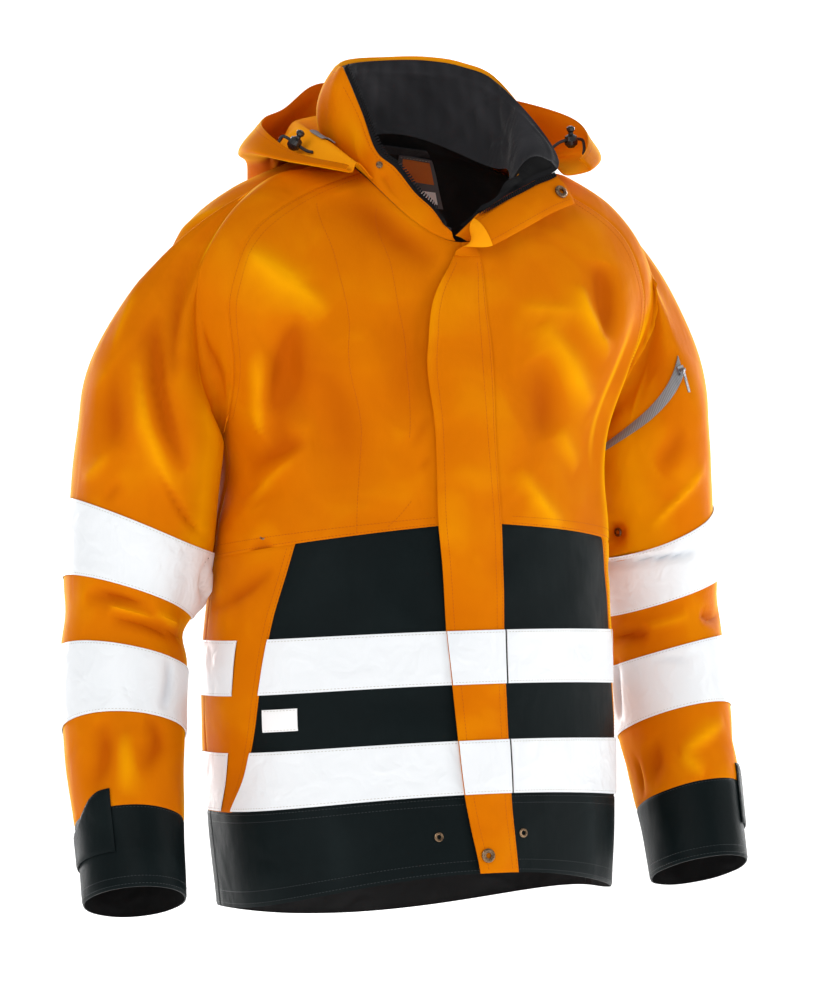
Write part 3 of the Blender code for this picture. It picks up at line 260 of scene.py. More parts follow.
def cloth_material(name, colour, painted_trough_shade, painted_ridge_highlight, roughness, specular, ribs=900.0, rib_depth=0.00012,
                   crease_size=16.0, crease_depth=0.0022, sheen=0.0, rim=None):
    """A cloth: three shades laid by the fold attribute (troughs, flat, ridges), painted shade in its troughs
    and a painted highlight on its ridges, and by the handling creases' broad noise, which paints their
    hollows darker too; over two bumps for handling creases and twill. Rim is a painted rim light: a lighter
    colour where the surface turns away from the camera, in place of light from behind."""
    material, tree, shader = new_material(name, colour, roughness, 0.0, specular)
    shader.inputs["Sheen Weight"].default_value = sheen
    shader.inputs["Sheen Roughness"].default_value = 0.4
    fold = add(tree, "ShaderNodeAttribute", {"attribute_name": "fold"})
    creases = add(tree, "ShaderNodeGroup", {"node_tree": handled}, Size=crease_size, Sharpness=0.45)
    # painted shade that follows the handling creases' bump: the colour is darker where the bump is low
    painted_crease_shade = add(tree, "ShaderNodeMapRange", {}, Value=creases.outputs["Shade"], From_Min=0.3,
                From_Max=0.7, To_Min=-0.18, To_Max=0.18)
    depth = add(tree, "ShaderNodeMath", {"operation": "ADD"}, i0=fold.outputs["Fac"],
                i1=painted_crease_shade.outputs["Result"])
    place = add(tree, "ShaderNodeMapRange", {}, Value=depth.outputs["Value"], From_Min=-1.0,
                From_Max=1.0)
    shades = add(tree, "ShaderNodeValToRGB", {}, Fac=place.outputs["Result"])
    shades.color_ramp.elements[0].color = (*painted_trough_shade, 1.0)
    shades.color_ramp.elements[1].color = (*painted_ridge_highlight, 1.0)
    middle = shades.color_ramp.elements.new(0.5)
    middle.color = (*colour, 1.0)
    shade = shades.outputs["Color"]
    if rim is not None:
        # painted rim light: the colour turns towards the rim colour where the surface faces away from the
        # camera
        edge = add(tree, "ShaderNodeLayerWeight", {}, Blend=0.5)
        painted_rim_share = add(tree, "ShaderNodeMapRange", {"interpolation_type": "SMOOTHSTEP"},
                   Value=edge.outputs["Facing"], From_Min=0.62, From_Max=1.0, To_Max=0.9)
        painted_rim_colour = add(tree, "ShaderNodeMix", {"data_type": "RGBA"}, i0=painted_rim_share.outputs["Result"], i6=shade,
                    i7=(*rim, 1.0))
        shade = painted_rim_colour.outputs[2]
    tree.links.new(shade, shader.inputs["Base Color"])
    big = add(tree, "ShaderNodeBump", {}, Strength=1.0, Distance=crease_depth,
              Height=creases.outputs["Height"])
    weave = add(tree, "ShaderNodeGroup", {"node_tree": twill}, Ribs_per_metre=ribs)
    small = add(tree, "ShaderNodeBump", {}, Strength=0.5, Distance=rib_depth,
                Height=weave.outputs["Height"], Normal=big.outputs["Normal"])
    tree.links.new(small.outputs["Normal"], shader.inputs["Normal"])
    return material


# Every cloth below is painted darker in its fold troughs and lighter on its ridges; the orange also has a
# painted rim light at its edges.
orange = cloth_material("orange_twill", (0.60, 0.150, 0.0), (0.44, 0.082, 0.0), (0.80, 0.315, 0.0),
                        0.62, 0.02, crease_depth=0.0036, rim=(0.88, 0.44, 0.0))
black = cloth_material("black_twill", (0.0024, 0.0056, 0.0062), (0.001, 0.0024, 0.0028),
                       (0.0075, 0.0125, 0.0135), 0.50, 0.07, crease_depth=0.0034)
# The shell's inside face, painted much lighter than its outside: painted light inside the hood and other
# hollows where little light reaches.
orange_back_painted_light = cloth_material("orange_twill_back", (0.93, 0.33, 0.005), (0.82, 0.25, 0.0),
                             (0.97, 0.42, 0.01), 0.75, 0.02)
lining = cloth_material("body_lining_cloth", (0.0085, 0.0085, 0.0088), (0.005, 0.005, 0.0055),
                        (0.016, 0.016, 0.017), 0.6, 0.07, ribs=1300.0, crease_size=24.0, crease_depth=0.005)
fleece = cloth_material("collar_lining_cloth", (0.024, 0.024, 0.027), (0.014, 0.014, 0.016),
                        (0.046, 0.045, 0.050), 0.85, 0.10, ribs=1300.0, crease_size=30.0,
                        crease_depth=0.006, sheen=0.15)

# ---------------------------------------------------------------- body tube and its panels
# The jacket's body is one tube from the neck to the hem. The front and back uppers, the black front
# blocks with their slanted pocket edges, the orange side strips and the black hem band are cut from
# it, 1.2 mm thick, and sewn edge to edge. Folds run out from the armholes and the zip.
CLOTH = 0.0012          # wall of the shell cloth
TRIM = 0.0010           # wall of a tape, patch or tab
SEAM = 0.0003           # gap between neighbours
LIFT = 0.0009           # from a panel's face to the underside of what is sewn on it
TOUCH = LIFT + TRIM
INNER = 1.5 * CLOTH     # how far the inside linings lie behind the shell's face
NECK = 0.060            # drops down the centre front: of the neck seam,
ARMPIT = 0.236          # the armpits,
SIDE_STRAIGHT = 0.34    # the point from which the side seams run straight down,
BLOCK_TOP = 0.322       # the seam over the black blocks,
TAPE_TOPS = {1: 0.422, 2: 0.524}
BAND_TOP = 0.575        # the hem band's seam
HEM = 0.647             # and the hem
TAPE_BODY = 0.050       # width of a body tape
SIDE_SEAM = 96.0        # degrees round from the centre front
SEAM_SLOPE = 0.024      # how much lower the seam over the blocks lies at the sides
SLOPED = (0.270, 0.400)
SIDES = (("right", -1), ("left", 1))

# Rings of the body tube. drop: of the ring at the centre front; z_side, z_back: its height there.
BODY_RINGS = {
    "drop":       (0.060, 0.085, 0.120, 0.165, 0.236, 0.330, 0.450, 0.575, 0.647),
    "z_side":     (0.022, 0.010, -0.022, -0.090, -0.238, -0.334, -0.458, -0.590, -0.680),
    "z_back":     (0.058, 0.040, -0.004, -0.080, -0.225, -0.338, -0.465, -0.603, -0.707),
    "half_width": (0.088, 0.150, 0.214, 0.240, 0.193, 0.195, 0.203, 0.201, 0.194),
    "front":      (0.086, 0.100, 0.120, 0.136, 0.148, 0.150, 0.150, 0.154, 0.160),
    "back":       (0.080, 0.098, 0.118, 0.130, 0.132, 0.128, 0.130, 0.140, 0.150),
    "x_mid":      (0.000, 0.000, 0.000, 0.000, -0.002, -0.003, -0.008, -0.006, -0.004),
    "y_mid":      (-0.036, -0.028, -0.014, -0.004, 0.002, 0.004, 0.004, 0.004, 0.004),
    "square":     (2.0, 2.05, 2.15, 2.3, 2.35, 2.25, 2.2, 2.15, 2.1),
}
RAGLAN = {
    "run":         (0.00, 0.18, 0.40, 0.62, 0.82, 1.00),
    "drop":        (0.060, 0.080, 0.115, 0.158, 0.202, 0.236),
    "front_angle": (66.0, 63.0, 61.0, 62.0, 69.0, 90.0),
    "back_angle":  (112.0, 120.0, 125.0, 121.0, 110.0, 90.0),
}
BLOCK_EDGE = {
    "drop":  (0.322, 0.388, 0.422, 0.466, 0.524, 0.550, 0.575),
    "angle": (52.5, 57.5, 59.8, 62.6, 67.6, 72.0, 80.0),
}
# Broad hollows of the whole tube, which the solids have too.
BODY_HOLLOWS = {
    "u":    (-47.0, -74.0, -30.0, 52.0, -40.0, 30.0),
    "v":    (0.215, 0.270, 0.265, 0.215, 0.160, 0.245),
    "long": (0.060, 0.050, 0.050, 0.060, 0.070, 0.060),
    "wide": (0.018, 0.020, 0.018, 0.022, 0.024, 0.024),
    "deep": (0.006, 0.007, 0.004, 0.006, -0.004, 0.003),
    "turn": (70.0, 20.0, 120.0, 100.0, 35.0, 60.0),
}
# Creases: from, by way of and to, as degrees round and metres down; half width, height (a trough is
# negative), lean to one side, and how soft the section is.
CREASE_COLUMNS = ("from_u", "from_v", "mid_u", "mid_v", "to_u", "to_v", "wide", "deep", "lean", "soft")
BODY_CREASES = (
    (-64.6, 0.1366, -45.8, 0.1383, -31.9, 0.1529, 0.010, 0.0042, 0.3, 1.3),
    (-37.5, 0.1595, -49.3, 0.1986, -66.0, 0.2328, 0.011, -0.0062, -0.3, 1.6),
    (-52.8, 0.1904, -62.5, 0.2165, -68.8, 0.2345, 0.009, 0.0028, 0.0, 1.8),
    (-49.3, 0.241, -61.8, 0.2491, -80.6, 0.2589, 0.010, -0.004, 0.2, 1.4),
    (-47.9, 0.2459, -60.4, 0.2606, -78.5, 0.2866, 0.007, 0.0022, 0.2, 1.3),
    (-56.9, 0.2345, -50.7, 0.2328, -44.4, 0.2296, 0.006, 0.0012, 0.0, 1.6),
    (-56.9, 0.0714, -31.9, 0.0747, -10.4, 0.0828, 0.012, -0.0035, 0.0, 1.7),
    (-15.3, 0.2508, -12.5, 0.2377, -9.0, 0.2214, 0.004, -0.0012, 0.0, 1.6),
    (-13.9, 0.272, -11.8, 0.2654, -10.4, 0.2589, 0.003, -0.001, 0.0, 1.6),
    (12.5, 0.1252, 20.1, 0.1334, 29.2, 0.1448, 0.005, 0.0013, 0.2, 1.4),
    (16.7, 0.1432, 24.3, 0.1872, 38.9, 0.2198, 0.010, 0.004, 0.2, 1.5),
    (32.6, 0.1269, 31.2, 0.1546, 38.9, 0.1888, 0.007, 0.004, 0.1, 1.4),
    (43.1, 0.122, 38.9, 0.1448, 36.1, 0.1741, 0.012, -0.0055, 0.0, 1.8),
    (25.0, 0.2345, 31.2, 0.2524, 36.8, 0.2703, 0.009, 0.0022, 0.0, 1.7),
    (11.1, 0.2703, 18.8, 0.2997, 27.1, 0.3193, 0.008, 0.003, 0.2, 1.5),
    (11.8, 0.1741, 18.1, 0.21, 22.2, 0.2443, 0.016, -0.0035, 0.0, 1.9),
    (-16.7, 0.122, -13.2, 0.1741, -18.1, 0.2345, 0.020, -0.0016, 0.0, 2.0),
    (-28.5, 0.1595, -34.0, 0.2263, -38.2, 0.2964, 0.022, -0.0018, 0.0, 2.0),
    (-60.0, 0.345, -74.0, 0.372, -92.0, 0.392, 0.010, -0.0028, 0.2, 1.6),
    (62.0, 0.350, 78.0, 0.366, 96.0, 0.380, 0.010, -0.0026, 0.2, 1.6),
    # the back: drag lines from both armholes to the middle, and soft bends above the hem
    (118.0, 0.150, 136.0, 0.176, 158.0, 0.188, 0.012, -0.0045, 0.2, 1.5),
    (122.0, 0.185, 140.0, 0.205, 166.0, 0.214, 0.010, 0.0030, 0.2, 1.4),
    (108.0, 0.226, 126.0, 0.240, 150.0, 0.262, 0.011, -0.0050, -0.2, 1.6),
    (100.0, 0.262, 118.0, 0.270, 138.0, 0.290, 0.009, 0.0026, 0.2, 1.4),
    (242.0, 0.148, 226.0, 0.172, 204.0, 0.190, 0.012, -0.0042, 0.2, 1.5),
    (238.0, 0.182, 218.0, 0.200, 196.0, 0.206, 0.010, 0.0028, 0.2, 1.4),
    (252.0, 0.224, 234.0, 0.242, 212.0, 0.258, 0.011, -0.0048, -0.2, 1.6),
    (262.0, 0.268, 244.0, 0.276, 222.0, 0.300, 0.009, 0.0024, 0.2, 1.4),
    (150.0, 0.300, 170.0, 0.330, 196.0, 0.322, 0.018, -0.0030, 0.0, 1.8),
    (128.0, 0.350, 142.0, 0.400, 136.0, 0.470, 0.020, -0.0030, 0.0, 1.9),
    (224.0, 0.345, 214.0, 0.410, 226.0, 0.480, 0.020, -0.0028, 0.0, 1.9),
    (172.0, 0.360, 178.0, 0.440, 170.0, 0.520, 0.024, 0.0030, 0.0, 2.0),
    (112.0, 0.480, 122.0, 0.560, 116.0, 0.640, 0.018, 0.0030, 0.0, 1.8),
    (248.0, 0.490, 240.0, 0.560, 246.0, 0.640, 0.018, 0.0030, 0.0, 1.8),
    (-44.0, 0.560, -40.0, 0.600, -42.0, 0.650, 0.014, 0.0016, 0.0, 1.8),
    (36.0, 0.556, 40.0, 0.600, 38.0, 0.650, 0.014, 0.0016, 0.0, 1.8),
)
BODY_RADIUS = 0.17      # metres of cloth to a radian round the body, near enough for its creases


def through(knots, values, at):
    """A smooth curve through the table's values: cubic pieces with central-difference slopes."""
    knots = np.asarray(knots, float)
    values = np.asarray(values, float)
    at = np.clip(np.asarray(at, float), knots[0], knots[-1])
    slopes = np.gradient(values, knots)
    i = np.clip(np.searchsorted(knots, at, side="right") - 1, 0, len(knots) - 2)
    width = knots[i + 1] - knots[i]
    return cubic((at - knots[i]) / width, values[i], width * slopes[i], values[i + 1], width * slopes[i + 1])


def smoothstep(low, high, at):
    """0 below low, 1 above high, an even S between."""
    t = np.clip((np.asarray(at, float) - low) / (high - low), 0.0, 1.0)
    return t * t * (3 - 2 * t)


def power(value, exponent):
    """A signed power, for the squared-off rings."""
    return np.sign(value) * np.abs(value) ** exponent


def round_from(middle, u, radius):
    """Metres of cloth round from the angle middle to the angle u, the short way."""
    return np.radians((np.asarray(u, float) - middle + 180.0) % 360.0 - 180.0) * radius


def hollows(table, picked, u, v, radius):
    """The sum of soft oval hollows: deep times the bell of the distances along and across each."""
    sunk = 0.0
    for number in picked:
        row = {name: column[number] for name, column in table.items()}
        turn = np.radians(row["turn"])
        across = round_from(row["u"], u, radius)
        down = np.asarray(v, float) - row["v"]
        lengthwise = (across * np.cos(turn) + down * np.sin(turn)) / row["long"]
        crosswise = (down * np.cos(turn) - across * np.sin(turn)) / row["wide"]
        sunk = sunk + row["deep"] * np.exp(-lengthwise**2 - crosswise**2)
    return sunk


def body(angle, drop):
    """A point of the body tube. x and y follow a squared-off ellipse whose sizes run through the
    rings' table; z runs from the side's height to the front's or the back's with cosine squared."""
    ring = {name: through(BODY_RINGS["drop"], column, drop) for name, column in BODY_RINGS.items()}
    turn = np.radians(angle)
    sine = np.sin(turn)
    cosine = np.cos(turn)
    exponent = 2.0 / ring["square"]
    sunk = hollows(BODY_HOLLOWS, range(len(BODY_HOLLOWS["u"])), angle, drop, BODY_RADIUS)
    depth = np.where(cosine > 0, ring["front"], ring["back"]) - sunk
    end = np.where(cosine > 0, -np.asarray(drop, float), ring["z_back"])
    x = ring["x_mid"] + (ring["half_width"] - sunk) * power(sine, exponent)
    y = ring["y_mid"] - depth * power(cosine, exponent)
    z = ring["z_side"] + (end - ring["z_side"]) * cosine**2
    return np.stack(np.broadcast_arrays(x, y, z), -1)


def turned_from_front(angle):
    """An angle brought to between -180 and 180 degrees."""
    return (angle + 180.0) % 360.0 - 180.0


def front(angle, drop):
    """The body tube with the seam over the black blocks slanted down towards the sides."""
    fade = np.minimum(np.clip((drop - SLOPED[0]) / (BLOCK_TOP - SLOPED[0]), 0.0, 1.0),
                      np.clip((SLOPED[1] - drop) / (SLOPED[1] - BLOCK_TOP), 0.0, 1.0))
    return body(angle, drop + SEAM_SLOPE * np.abs(turned_from_front(angle)) / 90.0 * fade)


def lifted(surface, u, v, out, turn=1.0):
    """Points of a surface moved out along its normal, the cross product of its two directions; turn
    is -1 where u and v run the other way."""
    du = 1e-3 * (np.max(u) - np.min(u)) + 1e-6
    dv = 1e-3 * (np.max(v) - np.min(v)) + 1e-6
    along_u = surface(u + du, v) - surface(u - du, v)
    along_v = surface(u, v + dv) - surface(u, v - dv)
    normal = unit(np.cross(unit(along_v), unit(along_u))) * turn
    return surface(u, v) + normal * np.asarray(out)[..., None]


def creases(table, u, v, radius):
    """How far a table's creases raise the cloth. Each is a bent line through its three points; its
    section falls off as exp(-(distance / width) ** soft) and its height fades to both ends."""
    raised = np.zeros(np.broadcast(u, v).shape)
    for row in table:
        knot = dict(zip(CREASE_COLUMNS, row))
        x = round_from(knot["mid_u"], u, radius)
        y = np.asarray(v, float) - knot["mid_v"]
        start, end = (np.array([round_from(knot["mid_u"], knot[end + "_u"], radius),
                                knot[end + "_v"] - knot["mid_v"]]) for end in ("from", "to"))
        control = -0.5 * (start + end)
        at = np.linspace(0.0, 1.0, 13)[:, None]
        line = (1 - at) ** 2 * start + 2 * at * (1 - at) * control + at**2 * end
        best = np.full(raised.shape, np.inf)
        side = np.zeros(raised.shape)
        share = np.zeros(raised.shape)
        for k in range(len(line) - 1):
            step = line[k + 1] - line[k]
            size = np.dot(step, step)
            t = np.clip(((x - line[k, 0]) * step[0] + (y - line[k, 1]) * step[1]) / size, 0.0, 1.0)
            gap_x = x - line[k, 0] - t * step[0]
            gap_y = y - line[k, 1] - t * step[1]
            gap = np.hypot(gap_x, gap_y)
            nearer = gap < best
            best = np.where(nearer, gap, best)
            side = np.where(nearer, np.sign(step[0] * gap_y - step[1] * gap_x), side)
            share = np.where(nearer, (k + t) / (len(line) - 1), share)
        width = knot["wide"] * (1.0 + knot["lean"] * side)
        fade = np.maximum(4.0 * share * (1.0 - share), 0.0) ** 0.8
        raised = raised + knot["deep"] * np.exp(-(best / width) ** knot["soft"]) * fade
    return raised


def ripple(u, v, radius, seed):
    """A slow unevenness of some tenths of a millimetre: five crossed sine waves of 45 to 130 mm."""
    x = np.radians(np.asarray(u, float)) * radius
    y = np.asarray(v, float)
    picked = np.random.default_rng(seed)
    total = 0.0
    for _ in range(5):
        wave = 2.0 * np.pi / picked.uniform(0.045, 0.130)
        lean = picked.uniform(0.0, np.pi)
        total = total + np.sin(wave * (x * np.cos(lean) + y * np.sin(lean)) + picked.uniform(0.0, 6.3))
    return RIPPLE * total


RIPPLE = 0.00022        # height of each wave
FOLD = 1.35             # the shell's creases over their heights in the tables
DIMPLES = []            # (piece, u, v, height, radius): where a snap, eyelet or slider sits in the cloth
EYELET_DIMPLE = 0.006
SNAP_DIMPLE = 0.008
BELOW = 0.0001          # from a hard piece's underside to the cloth pressed flat under it


def body_relief(u, v):
    """The folds of the body: its creases and its ripple."""
    return FOLD * creases(BODY_CREASES, u, v, BODY_RADIUS) + 0.6 * ripple(u, v, BODY_RADIUS, 3)


raglan_drops, raglan_front, raglan_back = (through(RAGLAN["run"], RAGLAN[name], np.linspace(0.0, 1.0, 300))
                                           for name in ("drop", "front_angle", "back_angle"))


def outer_edge(raglan, drop):
    """Angle of a panel's outer edge: its raglan seam, and the side seam below the armpit."""
    below = 90.0 + (SIDE_SEAM - 90.0) * smoothstep(ARMPIT, SIDE_STRAIGHT, drop)
    return np.where(drop < ARMPIT, np.interp(drop, raglan_drops, raglan), below)


def side_edge(drop):
    """Angle of a front's outer edge."""
    return outer_edge(raglan_front, drop)


def back_edge(drop):
    """Angle of the back's left edge."""
    return outer_edge(raglan_back, drop)


def block_edge(drop):
    """Angle of the slanted pocket edge."""
    return through(BLOCK_EDGE["drop"], BLOCK_EDGE["angle"], drop)


EDGE_STEPS = np.array([0.0, 0.0009, 0.0022, 0.0042])    # rows close to an edge, where the cloth dips


def spaced(length, step):
    """Shares from 0 to 1 of a length, even but for the close rows at both ends."""
    count = max(3, int(round((length - 2 * EDGE_STEPS[-1]) / step)))
    middle = np.linspace(EDGE_STEPS[-1], length - EDGE_STEPS[-1], count + 1)[1:-1]
    return np.concatenate([EDGE_STEPS, middle, length - EDGE_STEPS[::-1]]) / length


def lengths(points, axis):
    """Running length of a grid of points along one axis."""
    step = np.linalg.norm(np.diff(points, axis=axis), axis=-1)
    pad = [(0, 0), (0, 0)]
    pad[axis] = (1, 0)
    return np.cumsum(np.pad(step, pad), axis=axis)


FOLD_RANGE = 0.0045     # a fold of this height or depth is painted with the lightest highlight or the darkest shade


def cloth_wall(name, outer, inner, materials, fold, ring):
    """A closed wall between two grids of points. The outer face and the rims take the first material,
    the inner face the second; the piece's own UV map is in metres along its rows and columns."""
    rows, columns = outer.shape[:2]
    count = rows * columns
    points = np.concatenate([outer.reshape(-1, 3), inner.reshape(-1, 3)])
    index = np.arange(count).reshape(rows, columns)
    wrap = np.concatenate([index, index[:, :1]], 1) if ring else index
    laid = np.concatenate([outer, outer[:, :1]], 1) if ring else outer
    uv = np.stack([lengths(laid, 1), lengths(laid, 0)], -1)

    def corners(grid):
        return np.stack([grid[:-1, :-1], grid[:-1, 1:], grid[1:, 1:], grid[1:, :-1]], 2)

    top = corners(wrap[..., None])[..., 0].reshape(-1, 4)
    top_uv = corners(uv).reshape(-1, 4, 2)

    def rim(line, line_uv):
        faces = np.stack([line[1:], line[:-1], line[:-1] + count, line[1:] + count], -1)
        return faces, np.stack([line_uv[1:], line_uv[:-1], line_uv[:-1], line_uv[1:]], 1)

    rims = [rim(wrap[0], uv[0]), rim(wrap[-1][::-1], uv[-1][::-1])]
    if not ring:
        rims += [rim(index[::-1, 0], uv[::-1, 0]), rim(index[:, -1], uv[:, -1])]
    faces = np.concatenate([top, top[:, ::-1] + count] + [pair[0] for pair in rims])
    corner_uv = np.concatenate([top_uv, top_uv[:, ::-1]] + [pair[1] for pair in rims])
    slots = np.zeros(len(faces), int)
    slots[len(top):2 * len(top)] = min(1, len(materials) - 1)
    piece = smooth_mesh(name, points, faces, materials, slots, corner_uv, 42.0)
    # The fold attribute holds the relief's height; the cloth shaders turn it into painted shade in troughs
    # and a painted highlight on ridges, reversed on the inside face.
    value = np.clip(fold.ravel() / FOLD_RANGE, -1.0, 1.0)
    layer = piece.data.attributes.new("fold", "FLOAT", "POINT")
    layer.data.foreach_set("value", np.concatenate([value, -value]).astype(np.float32))
    return piece


SAMPLES = 40            # lines each way over which a panel's size is measured
SEAM_DIP = 0.0016       # how far in from a seam the cloth dips
PIN = 0.010             # how far in from a pinned side the folds fade


def panel(name, surface, top, bottom, left, right, materials, slot, relief=None, out=0.0, thick=CLOTH,
          turn=1.0, ring=False, seams="tblr", pinned=(), step=0.0040, replaces=None, with_pieces=(),
          held="hung", dip=0.0007, declare=True):
    """A cloth piece on part of a surface, between two rows and two edges (numbers or functions of the
    row). It follows the relief, sinks a little towards the seams named, and keeps to the bare surface
    along the sides that are pinned; turn is -1 where the surface's u and v run the other way. With
    declare, it measures its own largest width and length."""
    low = np.linspace(top, bottom, SAMPLES)

    def edge(side, rows):
        return side(rows) if callable(side) else np.full(np.shape(rows), float(side))

    middle = 0.5 * (edge(left, low) + edge(right, low))
    down = surface(middle, low)
    length = np.linalg.norm(np.diff(down, axis=0), axis=-1).sum()

    def laid_over(rows, shares):
        u = edge(left, rows)[:, None] + (edge(right, rows) - edge(left, rows))[:, None] * shares
        return u, np.repeat(rows[:, None], u.shape[1], axis=1)

    grid = surface(*laid_over(low, np.linspace(0.0, 1.0, SAMPLES)))
    width = np.linalg.norm(np.diff(grid, axis=1), axis=-1).sum(axis=1).max()
    columns = int(round(width / step))
    u, v = laid_over(top + (bottom - top) * spaced(length, step),
                     np.arange(columns) / columns if ring else spaced(width, step))
    base = surface(u, v)
    across = lengths(base, 1)
    along = lengths(base, 0)
    distance = {"t": along, "b": along[-1:] - along, "l": across, "r": across[:, -1:] - across}
    raised = np.zeros(u.shape) if relief is None else relief(u, v)
    for side in pinned:
        near = np.exp(-(distance[side[0]] / PIN) ** 2)
        if side[1:] == "shoulder":
            near = near * (1.0 - smoothstep(ARMPIT, ARMPIT + 0.030, v))
        raised = raised * (1.0 - near)
    for where, at_u, at_v, deep, radius in DIMPLES:
        if where == name:
            spot = surface(np.array([[at_u]]), np.array([[at_v]]))[0, 0]
            far = np.linalg.norm(base - spot, axis=-1)
            press = 1.0 - smoothstep(radius, 3.0 * radius, far)
            raised = raised * (1.0 - press) + deep * press
    # the relief without the seam dips, kept for the painted shade and highlight of the folds
    fold_for_painted_shade = raised.copy()
    for side in seams:
        if not (ring and side in "lr"):
            raised = raised - dip * np.exp(-(distance[side] / SEAM_DIP) ** 2)
    height = raised + (out(u, v) if callable(out) else out)
    outer = lifted(surface, u, v, height, turn)
    piece = cloth_wall(name, outer, lifted(surface, u, v, height - thick, turn), materials, fold_for_painted_shade, ring)
    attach(piece, "jacket")
    if replaces is None:
        replaces = [name.replace("cloth_", "")]
    if replaces:
        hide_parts(*replaces)
    if declare:
        laid = np.concatenate([outer, outer[:, :1]], 1) if ring else outer
        flat = (float(lengths(laid, 1)[:, -1].max()), float(lengths(laid, 0)[-1].max()))
    return piece


def node_height(node, surface, u, v, turn=1.0):
    """How far a node's underside stands off a surface at (u, v), along the surface's normal there."""
    pair = lifted(surface, np.array([u, u + 0.01]), np.array([v, v]), np.array([0.0, 0.0]), turn)
    above = lifted(surface, np.array([u, u + 0.01]), np.array([v, v]), np.array([0.001, 0.001]), turn)
    normal = unit(above[0] - pair[0])
    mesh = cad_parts[node].data
    points = np.empty(len(mesh.vertices) * 3, np.float32)
    mesh.vertices.foreach_get("co", points)
    return float(((points.reshape(-1, 3) - pair[0]) @ normal).min())


for node, piece, u, v in (("eyelet_hem_right", "hem_band_right", -11.1, 0.611),
                          ("eyelet_hem_left", "hem_band_left", 11.8, 0.611),
                          ("eyelet_side_right", "front_upper_right", -66.0, 0.327)):
    DIMPLES.append(("cloth_" + piece, u, v, node_height(node, body, u, v) - BELOW, EYELET_DIMPLE))

SHELL = [orange, orange_back_painted_light]
BLACK_SHELL = [black, lining]
for hand, side in SIDES:
    panel("cloth_front_upper_" + hand, front, NECK, BLOCK_TOP, lambda v, side=side: side * side_edge(v),
          0.0, SHELL, "orange_shell", body_relief, pinned=("t", "lshoulder"))
    panel("cloth_front_block_" + hand, front, BLOCK_TOP, BAND_TOP,
          lambda v, side=side: side * block_edge(v), 0.0, BLACK_SHELL, "black_shell", body_relief)
    panel("cloth_side_strip_" + hand, front, BLOCK_TOP, BAND_TOP,
          lambda v, side=side: side * side_edge(v), lambda v, side=side: side * block_edge(v), SHELL,
          "orange_shell", body_relief)
    panel("cloth_hem_band_" + hand, body, BAND_TOP, HEM, side * SIDE_SEAM, 0.0, BLACK_SHELL,
          "black_shell", body_relief)
panel("cloth_back", body, NECK, BAND_TOP, back_edge, lambda v: 360.0 - back_edge(v), SHELL,
      "orange_shell", body_relief, pinned=("t", "lshoulder", "rshoulder"), step=0.0042)
panel("cloth_hem_band_back", body, BAND_TOP, HEM, SIDE_SEAM, 360.0 - SIDE_SEAM, BLACK_SHELL,
      "black_shell", body_relief, step=0.0042)

# ---------------------------------------------------------------- storm flap, body tapes and patch
# The storm flap covers the zip: one long strip sewn down its left side, free on its right, over the
# tapes. Reflective tape, a glass-bead film on cloth, runs round the body twice. The slanted pocket has
# a small plain patch.
FLAP = {
    "drop": (0.072, 0.100, 0.160, 0.240, 0.322, 0.370, 0.420, 0.472, 0.524, 0.574, 0.610, 0.647),
    "free": (-4.5, -8.0, -8.6, -9.0, -9.0, -7.6, -6.2, -4.9, -4.2, -3.5, -2.4, -1.2),
    "seam": (7.5, 5.0, 3.4, 4.4, 6.2, 7.0, 7.6, 8.0, 8.3, 8.4, 8.9, 9.7),
}
FLAP_LIFT = 0.0026      # the flap's face over the cloth at its free edge
FLAP_DROP = 0.0017      # how much closer it lies at its seam
FLAP_TOP = 0.074
TAPE_REACH = 0.62       # how far the back tapes run from the side seam to the pocket edge, as a share
tape, tape_tree, tape_shader = new_material("reflective_tape", (0.88, 0.89, 0.90), 0.42, 0.0, 0.5)
tape_at = add(tape_tree, "ShaderNodeTexCoord")
beads = add(tape_tree, "ShaderNodeTexNoise", {}, Vector=tape_at.outputs["Object"], Scale=2600.0, Detail=1.0)
crumple = add(tape_tree, "ShaderNodeGroup", {"node_tree": handled}, Size=38.0, Sharpness=0.5)
tape_crumple = add(tape_tree, "ShaderNodeBump", {}, Strength=1.0, Distance=0.0028,
                   Height=crumple.outputs["Height"])
tape_beads = add(tape_tree, "ShaderNodeBump", {}, Strength=0.25, Distance=0.0001, Height=beads.outputs["Fac"],
                 Normal=tape_crumple.outputs["Normal"])
tape_tree.links.new(tape_beads.outputs["Normal"], tape_shader.inputs["Normal"])
tape_fold = add(tape_tree, "ShaderNodeAttribute", {"attribute_name": "fold"})
tape_shade = add(tape_tree, "ShaderNodeMapRange", {}, Value=tape_fold.outputs["Fac"], From_Min=-1.0,
                 From_Max=1.0)
# The tape's colour follows its folds: a painted bluish-grey shade in the troughs and a painted highlight on
# the ridges.
tape_painted_shades = add(tape_tree, "ShaderNodeValToRGB", {}, Fac=tape_shade.outputs["Result"])
tape_painted_shades.color_ramp.elements[0].color = (0.46, 0.50, 0.55, 1.0)
tape_painted_shades.color_ramp.elements[1].color = (0.72, 0.73, 0.74, 1.0)
flat_tape = tape_painted_shades.color_ramp.elements.new(0.45)
flat_tape.color = (0.66, 0.675, 0.69, 1.0)
tape_tree.links.new(tape_painted_shades.outputs["Color"], tape_shader.inputs["Base Color"])
TAPE_PAINTED_GLOW = 0.12        # a painted glow: the tape gives off light of its own, in place of the light its glass beads send back to where it comes from
tape_shader.inputs["Emission Color"].default_value = (0.86, 0.93, 1.0, 1.0)
tape_shader.inputs["Emission Strength"].default_value = TAPE_PAINTED_GLOW
TAPE = [tape, fleece]
patch_white = cloth_material("patch_white", (0.86, 0.86, 0.86), (0.74, 0.76, 0.78), (0.92, 0.92, 0.92),
                             0.6, 0.3)


